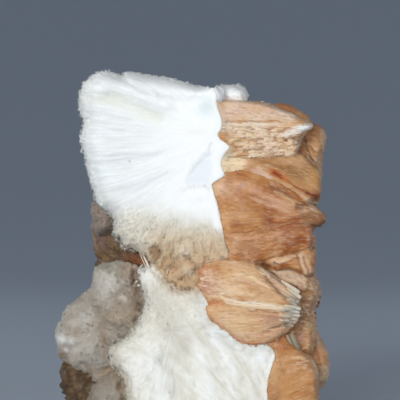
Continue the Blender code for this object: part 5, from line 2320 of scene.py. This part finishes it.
make_ball(
    "tuft_left", "scolecite_tuft_left", TUFT_LEFT, (107, 218),
    (-10.0, -1.0, 10.0), 64, 1400, 240, 22, linear((152, 137, 127)),
    linear((96, 80, 64)), lump=7.0, high=1.2, granule=3.4, marks=(
        dab(-0.5, linear((126, 118, 100)), 0.7, 110, 205, 10, 6),
        dab(-0.3, linear((112, 92, 74)), 0.6, 116, 224, 6, 10),
    ), tips=MIST,
)
make_ball(
    "lump_top", "scolecite_lump_top", LUMP_TOP, (226, 96),
    (-22.6, -8.0, 5.0), 65, 600, 240, 22, SNOW, SNOW * 0.94,
    length=(0.8, 1.8), width=(0.4, 0.7), material=SILKY,
    square=2.4, tips=SNOW, crinkle=2.6, high=0.75, lump=9.0,
    under=("fan_upper",), reach=12.0, marks=(
        # painted grey shade at its left end, where it meets the fan, and at its
        # right end
        dab(0, linear((232, 236, 236)), 0.3, 211, 94, 8, 7),
        dab(0, linear((232, 232, 228)), 0.3, 244, 94, 5, 7),
    ), edge=lambda u, v: -8.0 - 8.0 * rise(v, 95, 102) - 0.0 * u,
)
make_ball(
    "spray_back", "scolecite_spray_back", BACK_SPRAY, (146, 338),
    (8.0, 16.0, 29.5), 66, 2600, 300, 9, linear((236, 236, 230)),
    linear((206, 198, 182)), length=(1.6, 3.6),
    material=SILKY, square=2.3, tips=SNOW, lump=18.0, far_rings=26,
)
make_sheaf_top()
make_fan_right()
make_sheaf_second()
make_sheaf_fourth()
make_base_right()
make_rear_stilbite()
make_matrix()

# --------------------------------------------------------- floor, light, camera


def make_sweep():
    """A pale floor whose rim curves up into a round wall."""
    profile = [(0.0, 0.0), (0.25, 0.0), (0.5, 0.0), (0.8, 0.0)]
    for k in range(1, 25):
        a = math.pi / 2 * k / 24
        profile.append((0.8 + 1.8 * math.sin(a), 1.8 - 1.8 * math.cos(a)))
    profile.append((2.6, 2.6))
    turns = 96
    points, faces = [(0.0, 0.0, -0.0002)], []
    for r, z in profile[1:]:
        for k in range(turns):
            a = 2 * math.pi * k / turns
            points.append((r * math.cos(a), r * math.sin(a), z - 0.0002))
    for k in range(turns):
        faces.append((0, 1 + k, 1 + (k + 1) % turns))
    for row in range(len(profile) - 2):
        lo, hi = 1 + row * turns, 1 + (row + 1) * turns
        for k in range(turns):
            n = (k + 1) % turns
            faces.append((lo + k, hi + k, hi + n, lo + n))
    mesh = bpy.data.meshes.new("sweep")
    mesh.from_pydata(points, [], faces)
    mesh.shade_smooth()
    sweep = bpy.data.objects.new("sweep", mesh)
    bpy.context.scene.collection.objects.link(sweep)
    material = bpy.data.materials.new("sweep_paper")
    material.use_nodes = True
    nodes, links = material.node_tree.nodes, material.node_tree.links
    shader = nodes["Principled BSDF"]
    shader.inputs["Base Color"].default_value = (0.45, 0.515, 0.60, 1.0)
    shader.inputs["Roughness"].default_value = 0.9
    shader.inputs["Specular IOR Level"].default_value = 0.15
    fine = nodes.new("ShaderNodeTexNoise")
    fine.inputs["Scale"].default_value = 900.0
    bump = nodes.new("ShaderNodeBump")
    bump.inputs["Strength"].default_value = 0.05
    bump.inputs["Distance"].default_value = 0.0003
    links.new(fine.outputs["Fac"], bump.inputs["Height"])
    links.new(bump.outputs["Normal"], shader.inputs["Normal"])
    mesh.materials.append(material)


def make_light(name, at, toward, size, power, colour=(1.0, 1.0, 1.0)):
    light = bpy.data.lights.new(name, "AREA")
    light.shape = "DISK"
    light.size = size
    light.energy = power
    light.color = colour
    lamp = bpy.data.objects.new(name, light)
    bpy.context.scene.collection.objects.link(lamp)
    lamp.location = at
    step = Vector(toward) - Vector(at)
    lamp.rotation_euler = step.to_track_quat("-Z", "Y").to_euler()
    lamp.visible_camera = False
    return lamp


make_sweep()
MIDDLE = (0.0, -0.01, 0.07)
make_light("key", (-0.42, -0.96, 0.29), MIDDLE, 0.6, 9.0, (1.0, 0.99, 0.97))
make_light("fill", (0.55, -0.80, 0.15), MIDDLE, 0.6, 2.2, (1.0, 0.98, 0.95))
make_light("back_left", (-0.75, 0.5, 0.24), MIDDLE, 0.5, 1.2)
make_light("back_right", (0.75, 0.5, 0.24), MIDDLE, 0.5, 1.2)

world = bpy.data.worlds.new("studio")
world.use_nodes = True
world.node_tree.nodes["Background"].inputs["Color"].default_value = (
    0.90, 0.95, 1.0, 1.0)
world.node_tree.nodes["Background"].inputs["Strength"].default_value = 0.26
bpy.context.scene.world = world

camera_data = bpy.data.cameras.new("camera")
camera_data.sensor_width = 36.0
camera_data.lens = 36.0 * EYE_DISTANCE / (400.0 * UNIT)
camera_data.clip_start = 0.01
camera = bpy.data.objects.new("camera", camera_data)
bpy.context.scene.collection.objects.link(camera)
camera.location = (0.0, -EYE_DISTANCE, EYE_HEIGHT)
camera.rotation_euler = (math.pi / 2, 0.0, 0.0)
bpy.context.scene.camera = camera

bpy.context.scene.view_settings.view_transform = "Standard"
bpy.context.scene.view_settings.look = "None"
